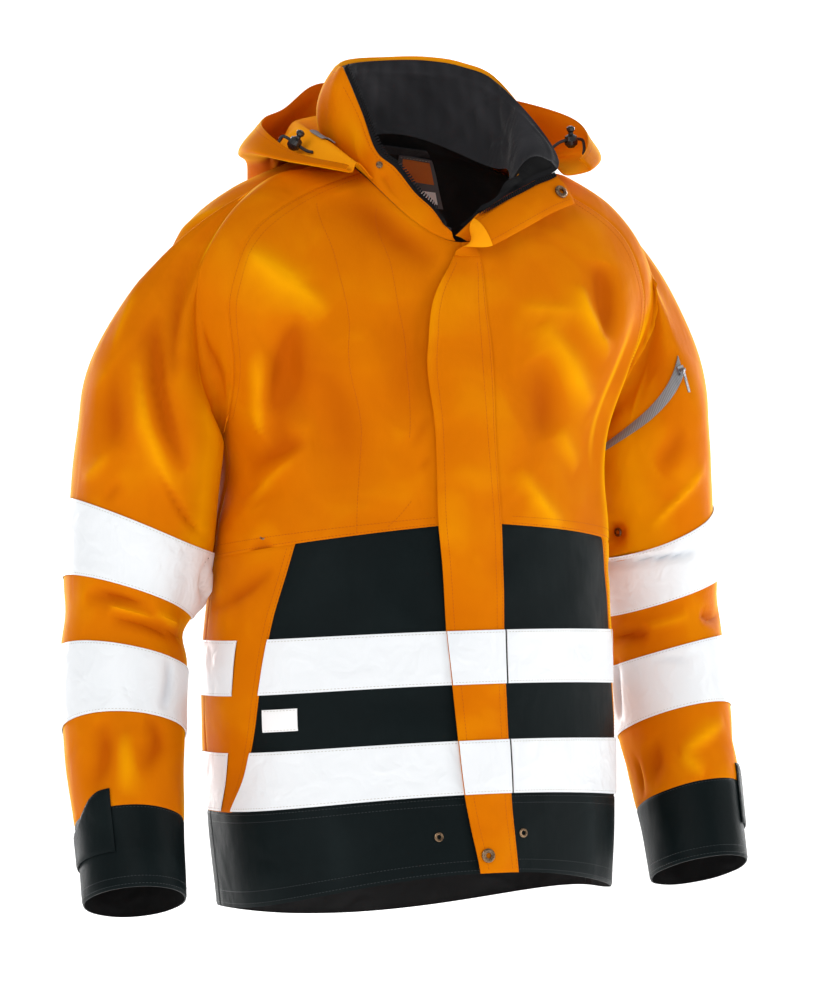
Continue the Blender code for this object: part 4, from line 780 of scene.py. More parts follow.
def flap_free(drop):
    """Angle of the storm flap's free edge."""
    return through(FLAP["drop"], FLAP["free"], drop)


def flap_seam(drop):
    """Angle of the storm flap's seam."""
    return through(FLAP["drop"], FLAP["seam"], drop)


def flap_height(start):
    """How far the flap stands off: near the cloth at its seam, over the tapes at its free edge."""

    def height(u, v):
        share = np.clip((u - flap_free(v)) / (flap_seam(v) - flap_free(v)), 0.0, 1.0)
        return start + FLAP_LIFT - FLAP_DROP * smoothstep(0.5, 1.0, share)

    return height


def flap_relief(u, v):
    """The flap's own long soft waves, on top of the body's folds."""
    wave = 0.0010 * np.sin(2.0 * np.pi * (v - 0.1) / 0.19) * smoothstep(6.0, -8.0, u)
    roll = 0.0016 * np.exp(-((u + 8.6) / 1.6) ** 2) * smoothstep(0.30, 0.20, v)
    return body_relief(u, v) + wave + roll


FLAP_SNAP = (0.7, 0.631)
snap_stands = node_height("snap_flap_bottom", front, *FLAP_SNAP)
DIMPLES.append(("cloth_storm_flap", *FLAP_SNAP, snap_stands - CLOTH - FLAP_LIFT - BELOW, SNAP_DIMPLE))
panel("cloth_storm_flap", front, FLAP_TOP, HEM, flap_free, flap_seam, SHELL, "orange_shell",
      flap_relief, out=flap_height(CLOTH), step=0.0030, dip=0.0004)


def back_tape_end(drop):
    """Angle of a back tape's left end, in front of the side seam."""
    return side_edge(drop) + TAPE_REACH * (block_edge(drop) - side_edge(drop))


TAPE_DIP = 0.0003
PATCH_ROWS = (0.4856, 0.5060)
PATCH_SIDES = (-61.6, -48.8)
for number, top in TAPE_TOPS.items():
    name = "cloth_body_tape_%d_" % number
    low = top + TAPE_BODY
    for hand, inner in (("right", -2.0), ("left", lambda v: flap_seam(v) + 0.8)):
        side = dict(SIDES)[hand]
        panel(name + hand, body, top, low, lambda v, side=side: side * block_edge(v), inner, TAPE,
              "reflective", body_relief, out=TOUCH, thick=TRIM, seams="tb", dip=TAPE_DIP)
    panel(name + "back", body, top, low, back_tape_end, lambda v: 360.0 - back_tape_end(v), TAPE,
          "reflective", body_relief, out=TOUCH, thick=TRIM, seams="tb", dip=TAPE_DIP, step=0.0042)
    panel(name + "flap", front, top, low, flap_free, flap_seam, TAPE, "reflective", flap_relief,
          out=flap_height(CLOTH + LIFT + TRIM), thick=TRIM, seams="tb", dip=TAPE_DIP, step=0.0030)
panel("cloth_pocket_patch", front, *PATCH_ROWS, *PATCH_SIDES, [patch_white, lining], "white_patch",
      body_relief, out=TOUCH, thick=TRIM, dip=0.0004, step=0.0030)

# ---------------------------------------------------------------- sleeves, cuffs and their tabs
# Raglan sleeves: each is one tube, from the slanted seams in front and behind and a short stretch of
# neck, over the shoulder, to the cuff. Two wide tapes go round each, and a tab closes the cuff.
LEFT = 1
SLEEVE_RINGS = {
    "along":   (0.000, 0.078, 0.156, 0.234, 0.312, 0.390, 0.450),
    "x_right": (0.263, 0.269, 0.277, 0.286, 0.294, 0.300, 0.304),
    "x_left":  (0.263, 0.272, 0.281, 0.285, 0.287, 0.286, 0.284),
    "y":       (0.028, 0.040, 0.044, 0.036, 0.014, -0.014, -0.034),
    "z":       (-0.232, -0.309, -0.385, -0.461, -0.536, -0.610, -0.667),
    "wide":    (0.064, 0.064, 0.062, 0.059, 0.055, 0.049, 0.047),
    "deep":    (0.082, 0.079, 0.074, 0.069, 0.063, 0.058, 0.056),
    "tilt":    (20.0, 18.0, 15.0, 9.0, 5.0, 4.0, 2.0),
}
SLEEVE_HOLLOWS = {
    "side": (-1, -1, -1, 1, 1, -1),
    "u":    (150.0, 110.0, 60.0, 150.0, 60.0, 330.0),
    "v":    (0.170, 0.195, 0.030, 0.060, 0.196, 0.190),
    "long": (0.050, 0.060, 0.060, 0.060, 0.060, 0.050),
    "wide": (0.020, 0.016, 0.026, 0.024, 0.020, 0.020),
    "deep": (0.007, 0.005, 0.005, 0.005, 0.004, 0.004),
    "turn": (15.0, -10.0, 60.0, -30.0, 5.0, 0.0),
}
SLEEVE_CREASES = {
    "right": (
        (-67.0, -0.1188, 0.0, -0.0736, 14.0, -0.0339, 0.007, 0.004, 0.3, 1.3),
        (-98.0, -0.144, -77.0, -0.1386, -55.0, -0.1368, 0.006, 0.0022, 0.2, 1.4),
        (-52.0, -0.0953, 30.0, -0.0800, 82.0, -0.0411, 0.008, -0.0042, -0.2, 1.5),
        (132.0, -0.1494, 146.0, -0.1458, 163.0, -0.1819, 0.006, -0.0022, 0.0, 1.5),
        (37.0, -0.0537, 69.0, -0.0267, 105.0, 0.0167, 0.010, -0.006, 0.2, 1.6),
        (38.0, -0.0393, 66.0, -0.0014, 92.0, 0.0438, 0.009, 0.003, 0.2, 1.5),
        (75.0, 0.0239, 106.0, 0.0582, 152.0, 0.0799, 0.004, -0.0024, 0.2, 1.3),
        (20.0, -0.0231, 30.0, -0.0032, 35.0, 0.0293, 0.014, -0.0035, 0.0, 1.8),
        (6.0, 0.069, 22.0, 0.0528, 36.0, 0.0311, 0.006, 0.0018, 0.0, 1.5),
        (35.0, 0.0817, 41.0, 0.069, 48.0, 0.0564, 0.005, -0.0014, 0.0, 1.5),
        (25.0, 0.1774, 64.0, 0.1719, 108.0, 0.1828, 0.005, -0.0045, 0.2, 1.4),
        (52.0, 0.1936, 90.0, 0.1936, 152.0, 0.1846, 0.005, -0.004, -0.2, 1.4),
        (49.0, 0.1846, 78.0, 0.1792, 134.0, 0.1774, 0.005, 0.0035, 0.0, 1.6),
        (152.0, 0.0871, 139.0, 0.116, 155.0, 0.1376, 0.004, -0.005, 0.0, 1.4),
        (153.0, 0.1051, 154.0, 0.1268, 160.0, 0.1503, 0.004, 0.004, 0.0, 1.4),
        (108.0, 0.2189, 113.0, 0.2514, 105.0, 0.2839, 0.007, -0.0028, 0.0, 1.6),
        (44.0, 0.2965, 47.0, 0.329, 24.0, 0.3597, 0.012, -0.0038, 0.0, 1.8),
        (87.0, 0.2947, 105.0, 0.3146, 80.0, 0.3453, 0.012, -0.0038, 0.3, 1.6),
        (68.0, 0.3056, 69.0, 0.3344, 65.0, 0.3669, 0.010, 0.0025, 0.0, 1.8),
        # behind: bends above the elbow and bunching over the cuff
        (200.0, 0.010, 240.0, 0.040, 290.0, 0.048, 0.010, -0.0045, 0.2, 1.6),
        (205.0, 0.060, 250.0, 0.082, 300.0, 0.078, 0.009, -0.0038, 0.2, 1.5),
        (190.0, 0.168, 230.0, 0.182, 285.0, 0.176, 0.006, -0.0045, 0.2, 1.4),
        (200.0, 0.200, 245.0, 0.206, 300.0, 0.190, 0.006, 0.0030, 0.0, 1.5),
        (210.0, 0.300, 245.0, 0.322, 290.0, 0.350, 0.010, -0.0036, 0.2, 1.6),
        (-40.0, -0.030, -62.0, 0.005, -74.0, 0.052, 0.012, -0.0034, 0.0, 1.8),
    ),
    "left": (
        (60.0, -0.0881, 118.0, -0.1300, 165.0, -0.1531, 0.005, 0.0036, 0.3, 1.3),
        (89.0, -0.0628, 112.0, -0.0628, 125.0, -0.0556, 0.003, 0.0012, 0.0, 1.5),
        (125.0, -0.0899, 133.0, -0.0718, 136.0, -0.0411, 0.003, 0.0012, 0.0, 1.5),
        (58.0, 0.0438, 92.0, 0.0564, 122.0, 0.0817, 0.005, 0.003, 0.2, 1.3),
        (84.0, -0.005, 100.0, 0.0076, 115.0, 0.0185, 0.014, -0.003, 0.0, 1.8),
        (167.0, 0.1069, 133.0, 0.1106, 79.0, 0.1286, 0.005, -0.0055, 0.3, 1.4),
        (167.0, 0.1015, 133.0, 0.1033, 86.0, 0.1178, 0.004, 0.003, 0.0, 1.5),
        (172.0, 0.1972, 150.0, 0.199, 132.0, 0.2063, 0.007, -0.0045, 0.0, 1.5),
        (140.0, 0.1936, 117.0, 0.1954, 91.0, 0.1972, 0.005, 0.002, 0.0, 1.5),
        (78.0, 0.1972, 59.0, 0.2081, 30.0, 0.2063, 0.006, -0.005, 0.0, 1.5),
        (169.0, 0.2243, 176.0, 0.2568, 183.0, 0.2893, 0.004, -0.0045, 0.0, 1.5),
        (151.0, 0.3236, 150.0, 0.3435, 164.0, 0.3597, 0.012, -0.0038, 0.0, 1.7),
        (122.0, 0.3453, 97.0, 0.3362, 63.0, 0.3182, 0.008, 0.0034, 0.2, 1.5),
        (122.0, 0.3471, 112.0, 0.3597, 100.0, 0.3724, 0.008, 0.0026, 0.2, 1.5),
        (175.0, 0.329, 175.0, 0.3507, 177.0, 0.3724, 0.005, -0.0028, 0.0, 1.6),
        (135.0, 0.2388, 114.0, 0.2442, 97.0, 0.255, 0.006, -0.0012, 0.0, 1.6),
        # behind and outside
        (200.0, 0.014, 240.0, 0.030, 292.0, 0.052, 0.010, -0.0045, 0.2, 1.6),
        (205.0, 0.066, 250.0, 0.078, 300.0, 0.084, 0.009, -0.0036, 0.2, 1.5),
        (195.0, 0.190, 235.0, 0.200, 290.0, 0.186, 0.006, -0.0045, 0.2, 1.4),
        (205.0, 0.316, 245.0, 0.330, 295.0, 0.352, 0.010, -0.0036, 0.2, 1.6),
        (10.0, 0.290, 20.0, 0.312, 44.0, 0.346, 0.010, -0.0030, 0.0, 1.7),
        (-40.0, -0.030, -62.0, 0.005, -74.0, 0.052, 0.012, -0.0034, 0.0, 1.8),
    ),
}
SLEEVE_RADIUS = 0.068
SLEEVE_CLOTH = {"right": (7, 0.0125), "left": (11, 0.009)}      # ripple's seed; fullness under the arm
SLEEVE_TAPES = {"right": (0.088, 0.218), "left": (0.102, 0.229)}
TAPE_SLEEVE = 0.070
CUFF_TOP = 0.376
CUFF_END = 0.450
CAP = 0.200
TAB_TOP = 0.360
TAB_ROOT = 0.385
TAB_END = CUFF_END - 0.034
NECK_SHARE = 24.0       # degrees of the sleeve's turn that lie along the neck, each way
SEAM_WINDOW = 20.0      # the seam's direction is taken over this much of the turn, each way
LEAVING = 1.10          # the cap's slopes at the seam and at its end, over the straight way between
ARRIVING = 1.05
SLIDER_AT = (82.0, -0.043)      # where the pocket zip's slider lies on the left sleeve
SLIDER_DIMPLE = 0.012


def sleeve_axis(side, along):
    """The centre of a sleeve ring and its directions: down the sleeve, outward and forward, the last
    two turned by the table's tilt."""
    rows = SLEEVE_RINGS
    outer = rows["x_left"] if side == LEFT else rows["x_right"]

    def centre(at):
        return np.stack([side * through(rows["along"], outer, at), through(rows["along"], rows["y"], at),
                         through(rows["along"], rows["z"], at)], -1)

    middle = centre(along)
    down = unit(centre(along + 1e-3) - centre(along - 1e-3))
    outward = np.zeros_like(middle)
    outward[..., 0] = side
    outward = unit(outward - down * np.sum(outward * down, -1, keepdims=True))
    forward = np.cross(down, outward)
    forward = forward * np.sign(-forward[..., 1:2])
    tilt = np.radians(through(rows["along"], rows["tilt"], along))[..., None]
    return middle, down, outward * np.cos(tilt) - down * np.sin(tilt), forward


def sleeve_ring(side, angle, along):
    """A point of the sleeve below the cap, on an ellipse: angle 0 outside, 90 in front, 180 inside."""
    along = np.asarray(along, float)
    inside = np.clip(along, 0.002, CUFF_END - 0.002)
    middle, down, outward, forward = sleeve_axis(side, inside)
    middle = middle + down * (along - inside)[..., None]
    turn = np.radians(angle)
    picked = [number for number, where in enumerate(SLEEVE_HOLLOWS["side"]) if where == side]
    sunk = hollows({k: c for k, c in SLEEVE_HOLLOWS.items() if k != "side"}, picked, angle, along, 0.07)
    wide = through(SLEEVE_RINGS["along"], SLEEVE_RINGS["wide"], along) - sunk
    deep = through(SLEEVE_RINGS["along"], SLEEVE_RINGS["deep"], along) - sunk
    return middle + outward * (wide * np.cos(turn))[..., None] + forward * (deep * np.sin(turn))[..., None]


def raglan_loop(side, angle):
    """Where the sleeve starts: the raglan seams and the short stretch of neck between them."""
    turn = turned_from_front(angle)
    run = np.clip((np.abs(turn) - NECK_SHARE) / (180.0 - NECK_SHARE), 0.0, 1.0)
    seam = np.where(turn >= 0, through(RAGLAN["run"], RAGLAN["front_angle"], run),
                    through(RAGLAN["run"], RAGLAN["back_angle"], run))
    share = np.clip(np.abs(turn) / NECK_SHARE, 0.0, 1.0)
    middle = 0.5 * (RAGLAN["front_angle"][0] + RAGLAN["back_angle"][0])
    return side * (middle + (seam - middle) * share), through(RAGLAN["run"], RAGLAN["drop"], run)


def sleeve(side):
    """The whole sleeve as a function of the turn and of the way along it. Below 0 it is the cap: a
    cubic from the raglan loop, leaving it square to the seam, into the first ring."""

    def surface(angle, along):
        angle, along = np.broadcast_arrays(np.asarray(angle, float), np.asarray(along, float))
        lower = sleeve_ring(side, angle, np.maximum(along, 0.0))
        round_body, drop = raglan_loop(side, angle)
        start = body(round_body, drop)
        end = sleeve_ring(side, angle, np.zeros_like(along))
        across = body(round_body + side * 0.5, drop) - body(round_body - side * 0.5, drop)
        downward = body(round_body, drop + 0.001) - body(round_body, drop - 0.001)
        normal = unit(np.cross(across, downward)) * side
        normal = normal * np.sign(np.sum(normal * (start - [0.0, 0.0, -0.25]), -1, keepdims=True))
        seam = body(*raglan_loop(side, angle + SEAM_WINDOW)) - body(*raglan_loop(side, angle - SEAM_WINDOW))
        outward = unit(np.cross(seam, normal))
        outward = outward * np.sign(outward[..., :1] * side + 1e-9)
        _, down, _, _ = sleeve_axis(side, np.full(np.shape(along), 0.004))
        length = np.linalg.norm(end - start, axis=-1)[..., None]
        cap = cubic(np.clip(1.0 + along / CAP, 0.0, 1.0)[..., None], start, outward * length * LEAVING,
                    end, down * length * ARRIVING)
        return np.where((along < 0.0)[..., None], cap, lower)

    return surface


def even_sleeve(side):
    """The sleeve with its cap read off along fourteen lines and evened out between them, so that the
    cloth doesn't pinch where it turns over the shoulder. Exact at its seam and below the cap."""
    exact = sleeve(side)
    half = NECK_SHARE + (180.0 - NECK_SHARE) * np.linspace(0.0, 1.0, 7)
    turns = np.concatenate([[0.0], half, 360.0 - half[-2::-1]])
    steps = 160
    read = exact(*np.meshgrid(turns, np.linspace(-CAP, 0.0, steps + 1)))
    knots = np.concatenate([turns[-3:] - 360.0, turns, turns[:3] + 360.0])
    lines = np.concatenate([read[:, -3:], read, read[:, :3]], 1)
    slopes = np.gradient(lines, knots, axis=1)

    def surface(angle, along):
        angle, along = np.broadcast_arrays(np.asarray(angle, float), np.asarray(along, float))
        plain = exact(angle, along)
        turn = np.mod(angle, 360.0)
        i = np.clip(np.searchsorted(knots, turn, side="right") - 1, 0, len(knots) - 2)
        row = np.clip((along + CAP) / CAP * steps, 0.0, steps - 0.001)
        j = row.astype(int)
        part = (row - j)[..., None]
        width = (knots[i + 1] - knots[i])[..., None]
        t = ((turn - knots[i]) / (knots[i + 1] - knots[i]))[..., None]

        def at(grid, column):
            return grid[j, column] * (1.0 - part) + grid[j + 1, column] * part

        even = cubic(t, at(lines, i), width * at(slopes, i), at(lines, i + 1), width * at(slopes, i + 1))
        keep = np.maximum(1.0 - smoothstep(-CAP, -CAP + 0.014, along), smoothstep(-0.06, 0.0, along))
        return even + (plain - even) * keep[..., None]

    return surface


def sleeve_relief(hand):
    """The folds of one sleeve, faded out close to the raglan seam, and its fullness under the arm."""
    seed, fullness = SLEEVE_CLOTH[hand]

    def relief(u, v):
        turn = np.abs(turned_from_front(u))
        shoulder = np.maximum(smoothstep(28.0, 70.0, turn), smoothstep(-0.09, -0.03, v))
        fade = smoothstep(-CAP, -CAP + 0.022, v) * shoulder
        folds = FOLD * creases(SLEEVE_CREASES[hand], u, v, SLEEVE_RADIUS)
        folds = folds + 0.7 * ripple(u, v, SLEEVE_RADIUS, seed)
        full = fullness * np.exp(-((turn - 160.0) / 34.0) ** 2)
        return folds * fade + full * smoothstep(-0.085, -0.03, v) * smoothstep(0.19, 0.10, v)

    return relief


def on_tab(of_sleeve):
    """A sleeve's surface or relief, read over the cuff's tab: its upper edge rises to a tip above the
    cuff's edge."""

    def read(angle, way):
        top = TAB_ROOT - (TAB_ROOT - TAB_TOP) * smoothstep(-10.0, 40.0, angle)
        return of_sleeve(angle, top + (TAB_END - top) * way)

    return read


SLEEVE_EYELET = (152.0, 0.078)
eyelet_stands = node_height("eyelet_sleeve_left", sleeve(LEFT), *SLEEVE_EYELET, -1.0)
DIMPLES.append(("cloth_sleeve_left", *SLEEVE_EYELET, eyelet_stands - BELOW, EYELET_DIMPLE))
DIMPLES.append(("cloth_sleeve_left", *SLIDER_AT, 0.0, SLIDER_DIMPLE))
for hand, side in SIDES:
    surface = even_sleeve(side)
    relief = sleeve_relief(hand)
    panel("cloth_sleeve_" + hand, surface, -CAP, CUFF_TOP, 0.0, 360.0, SHELL, "orange_shell", relief,
          turn=-side, ring=True)
    panel("cloth_cuff_" + hand, surface, CUFF_TOP, CUFF_END, 0.0, 360.0, BLACK_SHELL, "black_shell",
          relief, turn=-side, ring=True)
    for number, top in enumerate(SLEEVE_TAPES[hand], 1):
        panel("cloth_sleeve_tape_%d_%s" % (number, hand), surface, top, top + TAPE_SLEEVE, 0.0, 360.0,
              TAPE, "reflective", relief, out=TOUCH, thick=TRIM, turn=-side, ring=True, dip=TAPE_DIP)
    panel("cloth_cuff_tab_" + hand, on_tab(surface), 0.0, 1.0, -76.0, 50.0, [black, black],
          "black_shell", on_tab(relief), out=TOUCH + 0.0006, thick=TRIM, turn=-side, step=0.0030)

# ---------------------------------------------------------------- neck: collar, lapels and wing
# The collar stands up round the back and folds open in front. Its right end runs down as the right
# front edge; on the left the front edge is turned out, with the flap's upper end folded over beside it.
# It is lined with a soft dark grey cloth, and the zip's tapes run along both free edges.
BAND = {
    "round":     (4, 20, 38, 55, 68, 76, 84, 91, 110, 145,
                  180, 215, 242, 262, 282, 300, 316, 332, 346, 356),
    "edge_x":    (-0.0130, -0.0240, -0.0390, -0.0550, -0.0740, -0.0830, -0.0960, -0.0945, -0.0800, -0.0420,
                  0.0030, 0.0460, 0.0740, 0.0920, 0.1020, 0.1160, 0.0780, 0.0410, 0.0100, -0.0060),
    "edge_y":    (-0.1225, -0.1130, -0.1030, -0.0950, -0.0880, -0.0800, -0.0720, -0.0570, -0.0220, 0.0340,
                  0.0580, 0.0480, 0.0280, 0.0000, -0.0450, -0.0880, -0.1050, -0.1170, -0.1225, -0.1235),
    "edge_z":    (-0.0520, -0.0300, -0.0120, 0.0110, 0.0310, 0.0660, 0.1040, 0.1085, 0.1150, 0.1260,
                  0.1310, 0.1310, 0.1240, 0.1100, 0.0730, 0.0160, -0.0030, -0.0200, -0.0410, -0.0540),
    "rise":      (0.000, 0.002, 0.003, 0.004, 0.006, 0.006, 0.000, 0.000, 0.000, 0.000,
                  0.000, 0.000, 0.000, 0.004, 0.015, 0.032, 0.032, 0.022, 0.008, 0.001),
    "flare":     (0.000, 0.001, 0.002, 0.003, 0.004, 0.007, 0.022, 0.034, 0.032, 0.014,
                  0.008, 0.006, 0.004, 0.004, 0.000, 0.000, 0.000, 0.000, 0.000, 0.000),
}
FLAP_WING = {
    "round": (303, 316, 332, 344, 350),
    "out_x": (0.130, 0.098, 0.058, 0.024, 0.010),
    "out_y": (-0.105, -0.118, -0.130, -0.137, -0.139),
    "out_z": (-0.020, -0.031, -0.049, -0.064, -0.068),
}
COLLAR_END = 303.22     # on the left the collar ends here, and the left front edge follows
FACING_END = 353.95
WING_END = 344.0
COLLAR_HEIGHT = 0.11    # metres from its seam to its edge, near enough for its creases
COLLAR_CREASES = (
    (60.0, 0.95, 58.0, 0.55, 44.0, 0.20, 0.006, -0.0022, 0.0, 1.6),
    (70.0, 0.85, 72.0, 0.50, 66.0, 0.18, 0.007, 0.0022, 0.2, 1.5),
    (92.0, 0.80, 90.0, 0.45, 96.0, 0.12, 0.008, -0.0020, 0.0, 1.6),
    (120.0, 0.75, 130.0, 0.50, 128.0, 0.15, 0.009, 0.0018, 0.0, 1.6),
    (160.0, 0.85, 170.0, 0.55, 166.0, 0.20, 0.010, -0.0022, 0.0, 1.7),
    (205.0, 0.80, 210.0, 0.50, 204.0, 0.18, 0.010, 0.0018, 0.0, 1.7),
    (246.0, 0.82, 252.0, 0.50, 248.0, 0.16, 0.009, -0.0020, 0.0, 1.6),
    (284.0, 0.80, 288.0, 0.50, 292.0, 0.22, 0.007, -0.0022, 0.0, 1.6),
)
COLLAR_RADIUS = 0.075
collar_pulls = [(from_u, from_v * COLLAR_HEIGHT, mid_u, mid_v * COLLAR_HEIGHT, to_u, to_v * COLLAR_HEIGHT,
                 *rest) for from_u, from_v, mid_u, mid_v, to_u, to_v, *rest in COLLAR_CREASES]


def neck_band(way_round, height):
    """A point of the collar and lapels: degrees round the band, height 0 at the neck, 1 at its edge;
    a parabola from the neck ring through a middle that flares and rises to the free edge."""
    way_round, height = np.broadcast_arrays(np.asarray(way_round, float), np.asarray(height, float))
    row = {name: through(BAND["round"], column, way_round) for name, column in BAND.items()}
    base = body(-way_round, np.full_like(way_round, NECK)) + np.array([0.0, 0.0, 2.0 * SEAM])
    edge = np.stack([row["edge_x"], row["edge_y"], row["edge_z"]], -1)
    turn = np.radians(-way_round)
    outward = np.stack([np.sin(turn), -np.cos(turn), np.zeros_like(turn)], -1)
    middle = 0.5 * (base + edge) + outward * row["flare"][..., None]
    middle[..., 2] += row["rise"]
    h = height[..., None]
    return (1 - h) ** 2 * base + 2 * h * (1 - h) * middle + h * h * edge


def band_edge(way_round, width):
    """Past the free edge of the neck band by width metres, straight on."""
    way_round = np.asarray(way_round, float)
    edge = neck_band(way_round, np.ones_like(way_round))
    onward = unit(edge - neck_band(way_round, np.full_like(way_round, 0.97)))
    return edge + onward * np.asarray(width)[..., None]


def flap_wing(way_round, width):
    """The folded-out flap: from the edge of the neck band (width 0) out to its own free edge (1)."""
    way_round, width = np.broadcast_arrays(np.asarray(way_round, float), np.asarray(width, float))
    inner = band_edge(way_round, np.full_like(way_round, 3.0 * SEAM))
    out = np.stack([through(FLAP_WING["round"], FLAP_WING[name], way_round)
                    for name in ("out_x", "out_y", "out_z")], -1)
    middle = 0.5 * (inner + out) + np.array([0.0, -0.006, 0.006])
    w = width[..., None]
    return (1 - w) ** 2 * inner + 2 * w * (1 - w) * middle + w * w * out


def collar_relief(u, v):
    """Soft pulls that run from the collar's edge down to its seam."""
    pulls = creases(collar_pulls, u, v * COLLAR_HEIGHT, COLLAR_RADIUS)
    return pulls * smoothstep(0.0, 0.2, v) * smoothstep(1.0, 0.85, v)


def lining_wrinkles(u, v):
    """The collar lining's own shallow wrinkles, two crossed sine waves: it is looser than the shell,
    and gathered along a line near its top."""
    gather = -0.0012 * np.exp(-((v - 0.84 - 0.02 * np.sin(np.radians(u) * 5.0)) / 0.035) ** 2)
    pulls = 0.0009 * np.sin(np.radians(u) * 23.0 + 5.0 * v) * np.sin(np.radians(u) * 9.0 - 7.0 * v + 0.8)
    return collar_relief(u, v) + (gather + pulls) * smoothstep(0.0, 0.2, v) * smoothstep(1.0, 0.93, v)


COLLAR_SNAP = (60.0, 0.66)
WING_SNAP = (308.6, 0.62)
snap_stands = node_height("snap_collar_right", neck_band, *COLLAR_SNAP)
DIMPLES.append(("cloth_collar", *COLLAR_SNAP, snap_stands - BELOW, 0.005))
snap_stands = node_height("snap_flap_top", flap_wing, *WING_SNAP, -1.0)
DIMPLES.append(("cloth_storm_flap_wing", *WING_SNAP, snap_stands - BELOW, SNAP_DIMPLE))
zip_black, _, _ = new_material("zip_tape_black", (0.010, 0.010, 0.011), 0.85, 0.0, 0.06)
ZIP_TAPE = [zip_black, zip_black]
ZIP_WIDTH = 0.005
ZIP_LEFT_END = 350.0
panel("cloth_zip_tape_right", band_edge, 1.5 * SEAM, ZIP_WIDTH, 8.0, 84.0, ZIP_TAPE, "black_shell",
      out=-CLOTH - SEAM, thick=TRIM, step=0.0024, dip=0.0, declare=False)
panel("cloth_zip_tape_left", band_edge, -ZIP_WIDTH, -SEAM, COLLAR_END + 1.0, ZIP_LEFT_END, ZIP_TAPE,
      "black_shell", out=-(INNER + CLOTH + LIFT), thick=TRIM, step=0.0024, dip=0.0, declare=False)
panel("cloth_collar", neck_band, -0.012, 1.0, 4.0, COLLAR_END, SHELL, "orange_shell", collar_relief,
      pinned=("l",), step=0.0028, with_pieces=("cloth_zip_tape_right",))


def collar_inside(way_round, height):
    """The neck band without the few millimetres under the collar's top edge, where the shell shows."""
    rim = 0.05 * smoothstep(82.0, 96.0, way_round) * smoothstep(286.0, 262.0, way_round)
    return neck_band(way_round, height * (1.0 - rim))


panel("cloth_collar_lining", collar_inside, -0.075, 1.0, 6.05, COLLAR_END, [fleece, fleece],
      "collar_lining", lining_wrinkles, out=-INNER, pinned=("l",), step=0.0028)
panel("cloth_front_edge_left", neck_band, -0.02, 1.0, COLLAR_END, 356.0, SHELL, "orange_shell", None,
      step=0.0028, with_pieces=("cloth_zip_tape_left",))


def facing_relief(u, v):
    """Folds of the left front's facing, from its edge down into the neck: two sine waves."""
    waves = 0.0016 * np.sin(np.radians(u) * 15.0 + 2.2 * v)
    waves = waves + 0.0009 * np.sin(np.radians(u) * 31.0 - 3.0 * v + 1.0)
    upright = smoothstep(0.98, 0.80, v) * smoothstep(0.0, 0.15, v)
    return waves * upright * smoothstep(COLLAR_END, COLLAR_END + 6.0, u) * smoothstep(FACING_END, 346.0, u)


panel("cloth_facing_left", neck_band, 0.0, 1.0, COLLAR_END, FACING_END, [lining, lining], "body_lining",
      facing_relief, out=-INNER, step=0.0028)
panel("cloth_storm_flap_wing", flap_wing, 0.0, 1.0, COLLAR_END + 1.0, WING_END, SHELL, "orange_shell", None,
      turn=-1.0, step=0.0026)
TURN_SLOPE = 1.1


def flap_turn(across, way):
    """The flap's upper end as it rolls over: from the flap's top (way 0) up and round to the lower end
    of the wing (way 1). Across is 0 at the free edge and 1 at the sewn one."""
    across, way = np.broadcast_arrays(np.asarray(across, float), np.asarray(way, float))
    drop = np.full(across.shape, FLAP_TOP)
    angle = flap_free(drop) + (flap_seam(drop) - flap_free(drop)) * across
    start = lifted(front, angle, drop, flap_height(CLOTH)(angle, drop))
    below = lifted(front, angle, drop + 0.004, flap_height(CLOTH)(angle, drop + 0.004))
    end = flap_wing(np.full(across.shape, WING_END), 1.0 - across)
    beyond = flap_wing(np.full(across.shape, WING_END - 3.0), 1.0 - across)
    length = TURN_SLOPE * np.linalg.norm(end - start, axis=-1)[..., None]
    return cubic(way[..., None], start, unit(start - below) * length, end, unit(beyond - end) * length)


panel("cloth_flap_turn", flap_turn, 0.0, 1.0, 0.0, 1.0, SHELL, "orange_shell", None, turn=-1.0,
      step=0.0022, dip=0.0, replaces=[], declare=False)

# ---------------------------------------------------------------- hood and its strap
# The hood hangs folded back round the collar: it rises from its seam over a crest, drops to a belly
# and comes up to the face edge, which lies open as a rolled rim. A grey strap ties it down on the right.
HOOD = {
    "round":     (56, 78, 96, 112, 130, 150, 180, 210, 240, 264, 282, 304),
    "crest_out": (0.112, 0.110, 0.116, 0.119, 0.116, 0.115, 0.116, 0.113, 0.108, 0.110, 0.116, 0.126),
    "crest_z":   (0.012, 0.036, 0.052, 0.061, 0.067, 0.072, 0.076, 0.072, 0.064, 0.050, 0.030, 0.004),
    "low_out":   (0.122, 0.132, 0.138, 0.143, 0.150, 0.172, 0.190, 0.182, 0.146, 0.138, 0.138, 0.136),
    "low_z":     (0.004, 0.016, 0.026, 0.028, 0.024, -0.018, -0.070, -0.022, 0.028, 0.024, 0.014, -0.002),
    "belly_out": (0.134, 0.158, 0.172, 0.174, 0.176, 0.206, 0.236, 0.230, 0.206, 0.184, 0.172, 0.146),
    "belly_z":   (0.006, 0.018, 0.028, 0.030, 0.025, -0.012, -0.060, -0.014, 0.032, 0.030, 0.020, 0.000),
    "rim_out":   (0.126, 0.148, 0.158, 0.152, 0.139, 0.134, 0.150, 0.158, 0.168, 0.174, 0.164, 0.138),
    "rim_z":     (0.012, 0.027, 0.052, 0.066, 0.078, 0.103, 0.110, 0.106, 0.090, 0.066, 0.040, 0.008),
}
HOOD_ROOT = 0.06        # the seam's height up the collar, as a share
HOOD_SEAT = 0.0025      # how far the hood's face stands off the collar there
HOOD_LENGTH = 0.24      # metres from its seam to its face edge, near enough for its creases
NECK_MIDDLE = (0.0, -0.036)
HOOD_KNOTS = (0.0, 0.22, 0.48, 0.68, 1.0)
